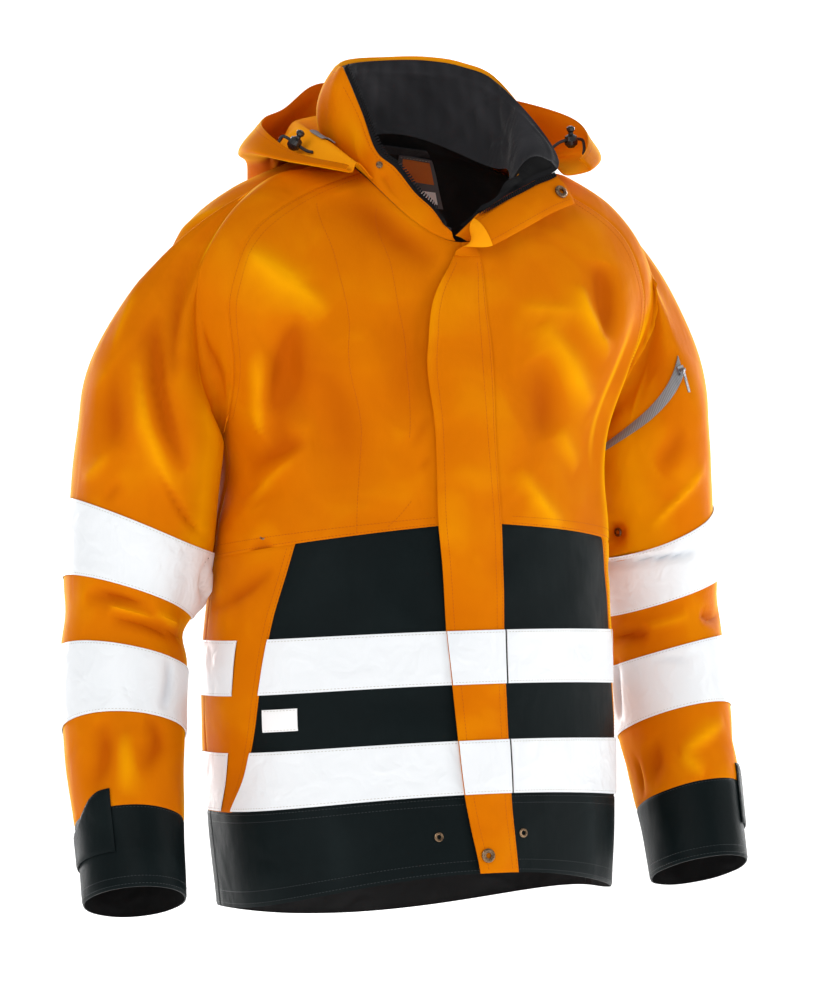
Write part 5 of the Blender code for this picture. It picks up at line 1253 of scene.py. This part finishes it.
HOOD_CREASES = (
    (96.0, 0.060, 112.0, 0.105, 140.0, 0.120, 0.010, -0.0050, 0.2, 1.5),
    (120.0, 0.085, 150.0, 0.130, 188.0, 0.120, 0.011, 0.0045, 0.2, 1.5),
    (150.0, 0.060, 176.0, 0.095, 206.0, 0.100, 0.010, -0.0050, -0.2, 1.5),
    (186.0, 0.130, 212.0, 0.120, 238.0, 0.080, 0.010, 0.0040, 0.2, 1.5),
    (228.0, 0.100, 246.0, 0.115, 268.0, 0.080, 0.009, -0.0040, 0.2, 1.5),
    (140.0, 0.150, 170.0, 0.165, 200.0, 0.150, 0.009, -0.0030, 0.0, 1.6),
)
HOOD_RADIUS = 0.17


def blend(knots, columns, at):
    """through(), where the values at each knot are whole arrays."""
    knots = np.asarray(knots, float)
    values = np.stack(columns)
    slopes = np.gradient(values, knots, axis=0)
    at = np.clip(at, 0.0, 1.0)
    i = np.clip(np.searchsorted(knots, at, side="right") - 1, 0, len(knots) - 2)
    width = knots[i + 1] - knots[i]

    def pick(array, index):
        return np.take_along_axis(array, index[None], 0)[0]

    return cubic((at - knots[i]) / width, pick(values, i), width * pick(slopes, i), pick(values, i + 1),
                 width * pick(slopes, i + 1))


def hood(way_round, way):
    """A point of the hood: degrees round the neck, way 0 at the collar seam to 1 at the face edge. Each
    spoke out from the neck's middle runs through the table's crest, low line, belly and rim."""
    way_round, way = np.broadcast_arrays(np.asarray(way_round, float), np.asarray(way, float))
    row = {name: through(HOOD["round"], column, way_round) for name, column in HOOD.items()}
    turn = np.radians(-way_round)
    outward = np.stack([np.sin(turn), -np.cos(turn)], -1)
    root = lifted(neck_band, way_round, np.full_like(way_round, HOOD_ROOT), HOOD_SEAT)
    seam_out = np.hypot(root[..., 0] - NECK_MIDDLE[0], root[..., 1] - NECK_MIDDLE[1])
    outs = (seam_out, row["crest_out"], row["low_out"], row["belly_out"], row["rim_out"])
    heights = (root[..., 2], row["crest_z"], row["low_z"], row["belly_z"], row["rim_z"])
    radius = blend(HOOD_KNOTS, outs, way)
    fade = (1.0 - np.clip(way / HOOD_KNOTS[1], 0.0, 1.0)) ** 2

    def at(reach, height):
        return np.concatenate([NECK_MIDDLE + outward * reach[..., None], height[..., None]], -1)

    spoke = at(radius, blend(HOOD_KNOTS, heights, way))
    return spoke + (root - at(seam_out, root[..., 2])) * fade[..., None]


def hood_relief(u, v):
    """The hood's own bends, faded out at its seam and near its ends."""
    along = HOOD_LENGTH * v
    bends = creases(HOOD_CREASES, u, along, HOOD_RADIUS) + 0.8 * ripple(u, along, HOOD_RADIUS, 21)
    return bends * (smoothstep(0.06, 0.25, v) * smoothstep(66.0, 92.0, u) * smoothstep(300.0, 270.0, u))


panel("cloth_hood", hood, 0.0, 1.0, 56.78, 294.0, SHELL, "orange_shell", hood_relief, step=0.0032,
      seams="lrb")
strap_grey = cloth_material("strap_grey", (0.25, 0.26, 0.28), (0.16, 0.17, 0.19), (0.36, 0.37, 0.39), 0.6,
                            0.35, ribs=700.0, rib_depth=0.0003)
panel("cloth_hood_strap", hood, 0.125, 0.25, 80.0, 89.0, [strap_grey, strap_grey], "grey_tape",
      out=-CLOTH - LIFT, thick=TRIM, step=0.0024)

# ---------------------------------------------------------------- lining, neck label and hanger loop
# Behind the neck the body has a dark lining, with a woven grey label sewn on to it and a short loop to
# hang the jacket by. The label has an orange field and a white tag, both bare.
LINING = 0.0076         # how deep the lining's face lies behind the shell's
BEHIND = LINING + CLOTH + SEAM
LOOP_ROWS = (0.0665, 0.0765)
LABEL_ROWS = (0.0805, 0.1215)
FIELD_ROWS = (0.0845, 0.1035)
TAG_ROWS = (0.1095, 0.1185)
WOVEN = 0.0004          # wall of the label's field and tag


def lining_edge(drop):
    """Angle of the back lining's left edge."""
    return back_edge(drop) + 2.0


def lining_step(steps):
    """The angle so many eighths of the way from the lining's middle to its left edge."""
    return lambda drop: 180.0 - (180.0 - lining_edge(drop)) * steps / 8.0


def lining_relief(u, v):
    """The loose lining's upright folds, which stop at its edges."""
    waves = 0.0016 * np.sin(np.radians(u) * 17.0 + 1.4 * np.sin(np.radians(u) * 3.0))
    edge = lining_edge(v)
    ends = smoothstep(edge, edge + 14.0, u) * smoothstep(360.0 - edge, 346.0 - edge, u)
    return waves * smoothstep(0.076, 0.10, v) * ends


label_grey = cloth_material("label_grey", (0.085, 0.092, 0.10), (0.05, 0.055, 0.06), (0.13, 0.14, 0.15),
                            0.6, 0.35)
label_orange = cloth_material("label_orange", (0.58, 0.14, 0.01), (0.42, 0.09, 0.005),
                              (0.66, 0.19, 0.02), 0.6, 0.3)


def lining_depth(u, v):
    """The lining starts close behind the collar's and falls back to its own depth."""
    return -(INNER + 0.0004) - (LINING - INNER - 0.0004) * smoothstep(NECK, LOOP_ROWS[0] + 0.004, v)


panel("cloth_body_lining", body, NECK - 0.002, 0.189, lining_edge, lambda v: 360.0 - lining_edge(v),
      [lining, lining], "body_lining", lining_relief, out=lining_depth, step=0.0045, seams="")
panel("cloth_neck_label", body, *LABEL_ROWS, lining_step(3), lining_step(1), [label_grey, label_grey],
      "label_cloth", lining_relief, out=-BEHIND, thick=TRIM, step=0.0030, dip=0.0003)
for part, rows, last, cloth in (("field", FIELD_ROWS, 1.25, label_orange),
                                ("tag", TAG_ROWS, 2.1, patch_white)):
    panel("cloth_neck_label_" + part, body, *rows, lining_step(2.8), lining_step(last), [cloth, cloth],
          "label_cloth", lining_relief, out=-BEHIND - TRIM - 0.0001, thick=WOVEN, step=0.0024, dip=0.0,
          replaces=[], declare=False)


def loop_out(u, v):
    """The loop bulges away from the lining between its two ends."""
    share = np.clip((u - lining_step(3)(v)) / (lining_step(-1)(v) - lining_step(3)(v)), 0.0, 1.0)
    return -BEHIND - 0.003 * np.sin(np.pi * share)


panel("cloth_hanger_loop", body, *LOOP_ROWS, lining_step(3), lining_step(-1), [fleece, fleece],
      "body_lining", out=loop_out, thick=TRIM, step=0.0028, dip=0.0003)

# ---------------------------------------------------------------- hard pieces kept from the solids
# The snaps, eyelets, cord locks and the sleeve zip's slider and pull tab are the solids themselves,
# with a finish each: dark burnished bronze, gunmetal and moulded black plastic.


def burnished(name, colour, worn, roughness):
    """Metal with a fine grain as its bump and brighter high spots where it has been rubbed."""
    material, tree, shader = new_material(name, colour, roughness, 1.0, 0.5)
    at = add(tree, "ShaderNodeTexCoord")
    cloud = add(tree, "ShaderNodeTexNoise", {}, Vector=at.outputs["Object"], Scale=900.0, Detail=3.0)
    edge = add(tree, "ShaderNodeNewGeometry")
    mask = add(tree, "ShaderNodeMath", {"operation": "MULTIPLY"}, i0=cloud.outputs["Fac"],
               i1=edge.outputs["Pointiness"])
    shade = add(tree, "ShaderNodeMapRange", {}, Value=mask.outputs["Value"], From_Min=0.2, From_Max=0.34)
    ramp = add(tree, "ShaderNodeValToRGB", {}, Fac=shade.outputs["Result"])
    ramp.color_ramp.elements[0].color = (*colour, 1.0)
    ramp.color_ramp.elements[1].color = (*worn, 1.0)
    tree.links.new(ramp.outputs["Color"], shader.inputs["Base Color"])
    grain = add(tree, "ShaderNodeBump", {}, Strength=0.3, Distance=0.0001, Height=cloud.outputs["Fac"])
    tree.links.new(grain.outputs["Normal"], shader.inputs["Normal"])
    return material


bronze = burnished("bronze_snap", (0.060, 0.040, 0.027), (0.26, 0.17, 0.10), 0.40)
gunmetal = burnished("gunmetal_zip", (0.10, 0.10, 0.11), (0.42, 0.42, 0.44), 0.34)
plastic, plastic_tree, plastic_shader = new_material("black_moulding", (0.010, 0.010, 0.011), 0.22, 0.0,
                                                     0.6)
plastic_at = add(plastic_tree, "ShaderNodeTexCoord")
plastic_grain = add(plastic_tree, "ShaderNodeTexNoise", {}, Vector=plastic_at.outputs["Object"], Scale=1500.0)
plastic_bump = add(plastic_tree, "ShaderNodeBump", {}, Strength=0.15, Distance=0.0001,
                   Height=plastic_grain.outputs["Fac"])
plastic_tree.links.new(plastic_bump.outputs["Normal"], plastic_shader.inputs["Normal"])
plastic_rough = add(plastic_tree, "ShaderNodeMapRange", {}, Value=plastic_grain.outputs["Fac"],
                    To_Min=0.16, To_Max=0.32)
plastic_tree.links.new(plastic_rough.outputs["Result"], plastic_shader.inputs["Roughness"])
HARD_PIECES = {
    bronze: ("eyelet_hem_right", "eyelet_hem_left", "eyelet_side_right", "eyelet_sleeve_left",
             "snap_flap_bottom", "snap_flap_top", "snap_collar_right"),
    plastic: ("cord_lock_right", "cord_lock_left"),
    gunmetal: ("sleeve_zip_slider", "sleeve_zip_pull"),
}
for material, nodes in HARD_PIECES.items():
    for node in nodes:
        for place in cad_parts[node].material_slots:
            place.material = material

# ---------------------------------------------------------------- sleeve zip
# A reversed coil zip with a matt grey face closes the pocket on the left sleeve. It lies in a slanted
# curve over the front of the sleeve, with a shallow groove on each side of its coil.
SLEEVE_ZIP = {
    "way":   (0.0, 0.30, 0.60, 0.82, 1.0),
    "angle": (173.0, 144.0, 115.0, 93.0, 78.0),
    "along": (-0.005, -0.028, -0.037, -0.041, -0.044),
}
ZIP_BAND = 0.012
left_sleeve = even_sleeve(LEFT)
zip_grey, zip_tree, zip_shader = new_material("zip_face_grey", (0.20, 0.205, 0.215), 0.5, 0.0, 0.5)
zip_uv = add(zip_tree, "ShaderNodeUVMap", {"uv_map": "cloth"})
coil = add(zip_tree, "ShaderNodeTexWave", {"wave_type": "BANDS", "bands_direction": "X"},
           Vector=zip_uv.outputs["UV"], Scale=160.0)
coil_bump = add(zip_tree, "ShaderNodeBump", {}, Strength=0.5, Distance=0.0003, Height=coil.outputs["Fac"])
zip_tree.links.new(coil_bump.outputs["Normal"], zip_shader.inputs["Normal"])
# The zip's colour follows the coil's bump: painted shade in its grooves and lighter on its ridges.
coil_painted_shade = add(zip_tree, "ShaderNodeValToRGB", {}, Fac=coil.outputs["Fac"])
coil_painted_shade.color_ramp.elements[0].color = (0.13, 0.135, 0.145, 1.0)
coil_painted_shade.color_ramp.elements[1].color = (0.27, 0.275, 0.285, 1.0)
zip_tree.links.new(coil_painted_shade.outputs["Color"], zip_shader.inputs["Base Color"])


def zip_place(way, across_band):
    """Where a point of the zip lies on the sleeve: its turn, and its way down it."""
    angle = through(SLEEVE_ZIP["way"], SLEEVE_ZIP["angle"], way)
    return angle, through(SLEEVE_ZIP["way"], SLEEVE_ZIP["along"], way) + across_band


def sleeve_zip(way, across_band):
    """A point of the zip on the left sleeve: way from its lower to its upper end, metres across it."""
    return left_sleeve(*zip_place(way, across_band))


def zip_relief(way, across_band):
    """The sleeve's folds under the zip, pressed flat round the slider like the cloth itself."""
    far = np.linalg.norm(sleeve_zip(way, across_band) - left_sleeve(*SLIDER_AT), axis=-1)
    pressed = smoothstep(SLIDER_DIMPLE, 3.0 * SLIDER_DIMPLE, far)
    return sleeve_relief("left")(*zip_place(way, across_band)) * pressed


def zip_face(way, across_band):
    """The zip's face: a shallow groove on each side of the coil."""
    return TOUCH - 0.0005 * np.exp(-((np.abs(across_band) - 0.0028) / 0.0008) ** 2)


panel("cloth_sleeve_zip", sleeve_zip, -0.5 * ZIP_BAND, 0.5 * ZIP_BAND, 0.0, 1.0, [zip_grey, zip_grey],
      "grey_tape", zip_relief, out=zip_face, thick=TRIM, step=0.0012, dip=0.0004)

# ---------------------------------------------------------------- zip teeth
# Moulded black teeth stand along both edges of the neck opening, one every 2.8 mm, narrowed at their
# heads.
TOOTH_PITCH = 0.0028
TOOTH_FOOT = 0.0009     # half widths of a tooth at its foot and at its head
TOOTH_HEAD = 0.0006
TOOTH_REACH = 0.0022    # half its length
TOOTH_THICK = 0.0011    # half its thickness


def tooth_row(name, first, last, width, deep):
    """Teeth along the band's edge between two angles: width metres past it, deep below its face."""
    rounds = np.linspace(first, last, 400)
    run = running(band_edge(rounds, np.full(400, width)))
    at = np.interp(np.arange(0.001, run[-1], TOOTH_PITCH), run, rounds)
    wide = np.full(at.shape, width)
    centre = lifted(band_edge, at, wide, np.full(at.shape, -deep))
    along = unit(band_edge(at + 0.3, wide) - band_edge(at - 0.3, wide))
    onward = unit(band_edge(at, wide + 0.001) - band_edge(at, wide - 0.001))
    up = np.cross(along, onward)
    shape = np.array([(x * half, y, z * TOOTH_THICK)
                      for y, half in ((-TOOTH_REACH, TOOTH_FOOT), (TOOTH_REACH, TOOTH_HEAD))
                      for x, z in ((-1, -1), (1, -1), (1, 1), (-1, 1))])
    points = (centre[:, None] + along[:, None] * shape[None, :, :1]
              + onward[:, None] * shape[None, :, 1:2] + up[:, None] * shape[None, :, 2:])
    sides = np.array([(0, 3, 2, 1), (4, 5, 6, 7), (0, 1, 5, 4), (1, 2, 6, 5), (2, 3, 7, 6), (3, 0, 4, 7)])
    faces = (sides[None] + 8 * np.arange(len(at))[:, None, None]).reshape(-1, 4)
    piece = smooth_mesh(name, points.reshape(-1, 3), faces, [zip_black])
    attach(piece, "jacket")


tooth_row("zip_teeth_right", 8.0, 83.5, ZIP_WIDTH + 0.0008, CLOTH + SEAM)
tooth_row("zip_teeth_left", COLLAR_END + 2.0, ZIP_LEFT_END, 0.0024, INNER + CLOTH + 0.5 * TRIM)

# ---------------------------------------------------------------- stitches
# Lockstitch along the seams, hems and tape edges: each stitch is a short pointed bar that lies on the
# cloth it holds. The rows follow the panels' own shapes, found by casting down on to them.
PITCH = 0.0033
STITCH_HALF = (0.0012, 0.00030, 0.00022)        # half its length, width and height
STITCH_OUT = 0.00006    # how far its middle stands off the cloth
TAPE_STITCH = 0.0022    # from a tape's edge to its stitches
PATCH_STITCH = 0.0013
CAST_FROM = 0.016       # above any fold


def sewn_row(piece, surface, us, vs, turn=1.0):
    """Stitches along a line through (us, vs) on a surface: their middles on the piece, the cloth's
    normal there and the way the line runs."""
    keys = np.linspace(0.0, 1.0, len(us))
    fine = np.linspace(0.0, 1.0, 700)
    u = through(keys, us, fine)
    v = through(keys, vs, fine)
    run = running(surface(u, v))
    at = np.arange(0.5 * PITCH, run[-1], PITCH)
    u = np.interp(at, run, u)
    v = np.interp(at, run, v)
    base = surface(u, v)
    up = unit(lifted(surface, u, v, np.full(u.shape, 0.01), turn) - base)
    cloth = bpy.data.objects[piece]
    found = [cloth.ray_cast(Vector(start), Vector(way)) for start, way in zip(base + CAST_FROM * up, -up)]
    kept = np.array([hit[0] for hit in found])
    place = np.array([tuple(hit[1]) for hit in found])[kept]
    normal = np.array([tuple(hit[2]) for hit in found])[kept]
    along = unit(np.gradient(base, axis=0))[kept]
    along = unit(along - normal * np.sum(along * normal, -1, keepdims=True))
    return np.stack([place, normal, along], 1)


def stitches(name, thread, rows):
    """One piece with all stitches of the rows: bars of three diamond rings, pointed at both ends."""
    row = np.concatenate(rows)
    place, normal, along = row[:, 0], row[:, 1], row[:, 2]
    aside = np.cross(along, normal)
    length, wide, high = STITCH_HALF
    rings = [(-length, 0.25), (0.0, 1.0), (length, 0.25)]
    corners = [(wide, 0.0), (0.0, high), (-wide, 0.0), (0.0, -high)]
    points = np.stack([place + along * run + (aside * a + normal * (b + STITCH_OUT)) * size
                       for run, size in rings for a, b in corners], 1)
    faces = [(r + k, r + (k + 1) % 4, r + 4 + (k + 1) % 4, r + 4 + k) for r in (0, 4) for k in range(4)]
    faces += [(3, 2, 1, 0), (8, 9, 10, 11)]
    faces = (np.array(faces)[None] + 12 * np.arange(len(row))[:, None, None]).reshape(-1, 4)
    piece = smooth_mesh(name, points.reshape(-1, 3), faces, [thread])
    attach(piece, "jacket")


bpy.context.view_layer.update()
orange_thread, _, _ = new_material("orange_thread", (0.40, 0.070, 0.002), 0.6, 0.0, 0.1)
dark_thread, _, _ = new_material("black_thread", (0.016, 0.021, 0.023), 0.5, 0.0, 0.3)
tape_thread, _, _ = new_material("tape_thread", (0.50, 0.47, 0.42), 0.6, 0.0, 0.2)
orange_rows = []
dark_rows = []
tape_rows = []


def level_row(rows, piece, surface, first, last, points, v, turn=1.0):
    """A row of stitches at one v, between two values of u."""
    rows.append(sewn_row(piece, surface, np.linspace(first, last, points), np.full(points, v), turn))


HEM_ROWS = (BAND_TOP + 0.002, BAND_TOP + 0.008, HEM - 0.003, HEM - 0.012)
raglan_at = slice(4, -6, 10)
for hand, side in SIDES:
    upper = "cloth_front_upper_" + hand
    strip = "cloth_side_strip_" + hand
    band = "cloth_hem_band_" + hand
    drops = raglan_drops[raglan_at]
    for gap in (1.0, 3.4):
        orange_rows.append(sewn_row(upper, front, side * (raglan_front[raglan_at] - gap), drops))
        orange_rows.append(sewn_row("cloth_back", body, np.mod(side * (raglan_back[raglan_at] + gap), 360.0),
                                    drops))
    for gap in (0.0016, 0.0076):
        level_row(orange_rows, upper, front, side * 9.4, side * 95.0, 12, BLOCK_TOP - gap)
    drops = np.linspace(BLOCK_TOP + 0.003, BAND_TOP - 0.003, 14)
    for gap in (0.7, 2.7):
        orange_rows.append(sewn_row(strip, front, side * (block_edge(drops) + gap), drops))
    for drop in HEM_ROWS:
        level_row(dark_rows, band, body, side * 1.0, side * 95.0, 12, drop)
    drops = np.linspace(BAND_TOP + 0.012, HEM - 0.014, 4)
    dark_rows.append(sewn_row(band, body, np.full(4, side * 94.6), drops))
for drop in HEM_ROWS:
    level_row(dark_rows, "cloth_hem_band_back", body, 97.0, 263.0, 20, drop)
# the seams of the inner pocket behind the right chest
chest = "cloth_front_upper_right"
for us, vs in (((-56.0, -37.0, -27.0, -28.0, -32.0, -32.0), (0.088, 0.1105, 0.150, 0.205, 0.269, 0.320)),
               ((-44.0, -24.0, -14.6, -13.0, -16.0), (0.068, 0.096, 0.1415, 0.187, 0.243)),
               ((-16.0, -19.5, -23.0), (0.298, 0.310, 0.319))):
    orange_rows.append(sewn_row(chest, front, us, vs))
drops = np.linspace(FLAP_TOP + 0.006, HEM - 0.003, 26)
for gap in (0.45, 2.0):
    orange_rows.append(sewn_row("cloth_storm_flap", front, flap_seam(drops) - gap, drops))
orange_rows.append(sewn_row("cloth_storm_flap", front, flap_free(drops) + 2.0, drops))
for number, top in TAPE_TOPS.items():
    name = "cloth_body_tape_%d_" % number
    for drop in (top + TAPE_STITCH, top + TAPE_BODY - TAPE_STITCH):
        edge = float(block_edge(drop))
        seam = float(side_edge(drop))
        end = seam - 0.6 * (seam - edge)
        flap_edges = (float(flap_free(drop)), float(flap_seam(drop)))
        level_row(tape_rows, name + "right", body, -edge + 0.4, -2.5, 8, drop)
        level_row(tape_rows, name + "left", body, flap_edges[1] + 1.2, edge - 0.4, 8, drop)
        level_row(tape_rows, name + "back", body, end, 360.0 - end, 24, drop)
        level_row(tape_rows, name + "flap", front, flap_edges[0] + 0.4, flap_edges[1] - 0.4, 4, drop)
for hand, side in SIDES:
    surface = even_sleeve(side)
    for number, top in enumerate(SLEEVE_TAPES[hand], 1):
        name = "cloth_sleeve_tape_%d_%s" % (number, hand)
        for along in (top + TAPE_STITCH, top + TAPE_SLEEVE - TAPE_STITCH):
            level_row(tape_rows, name, surface, 0.0, 360.0, 40, along, -side)
    for along in (CUFF_TOP + 0.002, CUFF_END - 0.003, CUFF_END - 0.010):
        level_row(dark_rows, "cloth_cuff_" + hand, surface, 0.0, 360.0, 40, along, -side)
level_row(orange_rows, "cloth_collar", neck_band, 8.0, 82.0, 12, 0.88)
level_row(orange_rows, "cloth_collar", neck_band, 88.0, 300.0, 24, 0.93)
level_row(orange_rows, "cloth_hood", hood, 58.0, 293.0, 40, 0.945)
for height in (0.86, 0.14):
    level_row(orange_rows, "cloth_storm_flap_wing", flap_wing, 306.0, 343.0, 10, height, -1.0)
for drop in (PATCH_ROWS[0] + PATCH_STITCH, PATCH_ROWS[1] - PATCH_STITCH):
    level_row(tape_rows, "cloth_pocket_patch", front, PATCH_SIDES[0] + 0.6, PATCH_SIDES[1] - 0.6, 4, drop)
label_row = LABEL_ROWS[0] + 0.0025
level_row(tape_rows, "cloth_neck_label", body, lining_step(2.9)(label_row), lining_step(1.1)(label_row), 5,
          label_row, -1.0)
stitches("stitches_orange", orange_thread, orange_rows)
stitches("stitches_black", dark_thread, dark_rows)
stitches("stitches_tape", tape_thread, tape_rows)

# ---------------------------------------------------------------- stage, lights and colour view
# White paper that runs along the floor and sweeps up behind, clear from its back; a white surround
# that shows brighter than it lights; a broad key from the front, a strip on the wearer's left, and two
# strips from behind that catch the shoulders and sleeves.
SWEEP_REACH = 6.0       # the paper's half width, its height, and how far it runs forward
SWEEP_START = 3.0       # where it begins to rise, and the radius of the rise
SWEEP_RADIUS = 2.2
FLOOR = -0.95
floor_at = np.linspace(-SWEEP_REACH, SWEEP_REACH, 25)
rise = np.linspace(0.08, 1.5, 12)
sweep_run = np.concatenate([np.linspace(-SWEEP_REACH, SWEEP_START, 20),
                            SWEEP_START + SWEEP_RADIUS * np.sin(rise),
                            np.full(8, SWEEP_START + SWEEP_RADIUS)])
sweep_up = np.concatenate([np.zeros(20), SWEEP_RADIUS * (1.0 - np.cos(rise)),
                           np.linspace(2.3, SWEEP_REACH, 8)])
turned_x = floor_at[None, :] * level[0] + sweep_run[:, None] * ahead[0]
turned_y = floor_at[None, :] * level[1] + sweep_run[:, None] * ahead[1]
sweep_points = np.stack(np.broadcast_arrays(turned_x, turned_y, sweep_up[:, None] + FLOOR), -1)
index = np.arange(sweep_points[..., 0].size).reshape(sweep_points.shape[:2])
sweep_faces = np.stack([index[:-1, :-1], index[:-1, 1:], index[1:, 1:], index[1:, :-1]], -1).reshape(-1, 4)
backdrop_mesh = bpy.data.meshes.new("backdrop")
backdrop_mesh.from_pydata(sweep_points.reshape(-1, 3).tolist(), [], sweep_faces.tolist())
backdrop_mesh.shade_smooth()
paper, paper_tree, paper_shader = new_material("backdrop_paper", (0.93, 0.93, 0.93), 0.9, 0.0, 0.1)
paper_shader.inputs["Emission Color"].default_value = (1.0, 1.0, 1.0, 1.0)
paper_shader.inputs["Emission Strength"].default_value = 0.62
paper_side = add(paper_tree, "ShaderNodeNewGeometry")
paper_clear = add(paper_tree, "ShaderNodeBsdfTransparent")
one_sided = add(paper_tree, "ShaderNodeMixShader", {}, i0=paper_side.outputs["Backfacing"],
                i1=paper_shader.outputs["BSDF"], i2=paper_clear.outputs["BSDF"])
paper_end = paper_tree.nodes["Material Output"]
paper_tree.links.new(one_sided.outputs["Shader"], paper_end.inputs["Surface"])
backdrop_mesh.materials.append(paper)
backdrop = bpy.data.objects.new("backdrop", backdrop_mesh)
bpy.context.collection.objects.link(backdrop)

SURROUND_LIGHT = 0.42   # its strength as a light; the camera sees it at 1
world = bpy.data.worlds.new("surround")
world.use_nodes = True
surround = world.node_tree.nodes["Background"]
surround.inputs["Color"].default_value = (1.0, 1.0, 1.0, 1.0)
ray_kind = add(world.node_tree, "ShaderNodeLightPath")
strength = add(world.node_tree, "ShaderNodeMapRange", {}, Value=ray_kind.outputs["Is Camera Ray"],
               To_Min=SURROUND_LIGHT)
world.node_tree.links.new(strength.outputs["Result"], surround.inputs["Strength"])
bpy.context.scene.world = world


def strip_light(name, place, target, width, height, power):
    """A rectangular white light at a place, facing a target."""
    data = bpy.data.lights.new(name, "AREA")
    data.shape = "RECTANGLE"
    data.size = width
    data.size_y = height
    data.energy = power
    lamp = bpy.data.objects.new(name, data)
    bpy.context.collection.objects.link(lamp)
    back = unit(np.array(place, float) - np.array(target, float))
    aside = unit(np.cross([0.0, 0.0, 1.0], back))
    turned = np.stack([aside, np.cross(back, aside), back], -1)
    lamp.matrix_world = Matrix([(*row, at) for row, at in zip(turned, place)] + [(0, 0, 0, 1)])


middle = np.array([0.0, 0.0, -0.30])
strip_light("key", middle - 2.6 * ahead - 1.2 * level + [0, 0, 1.5], middle, 1.6, 1.6, 40.0)
strip_light("right_strip", middle + 2.2 * level - 0.3 * ahead + [0, 0, 0.3], middle, 0.6, 2.2, 18.0)
strip_light("rim_left", middle - 1.5 * level + 1.9 * ahead + [0, 0, 0.6], middle, 0.7, 2.2, 50.0)
strip_light("rim_right", middle + 1.5 * level + 1.9 * ahead + [0, 0, 0.6], middle, 0.7, 2.2, 50.0)
bpy.context.scene.view_settings.view_transform = "Standard"
bpy.context.scene.view_settings.look = "None"
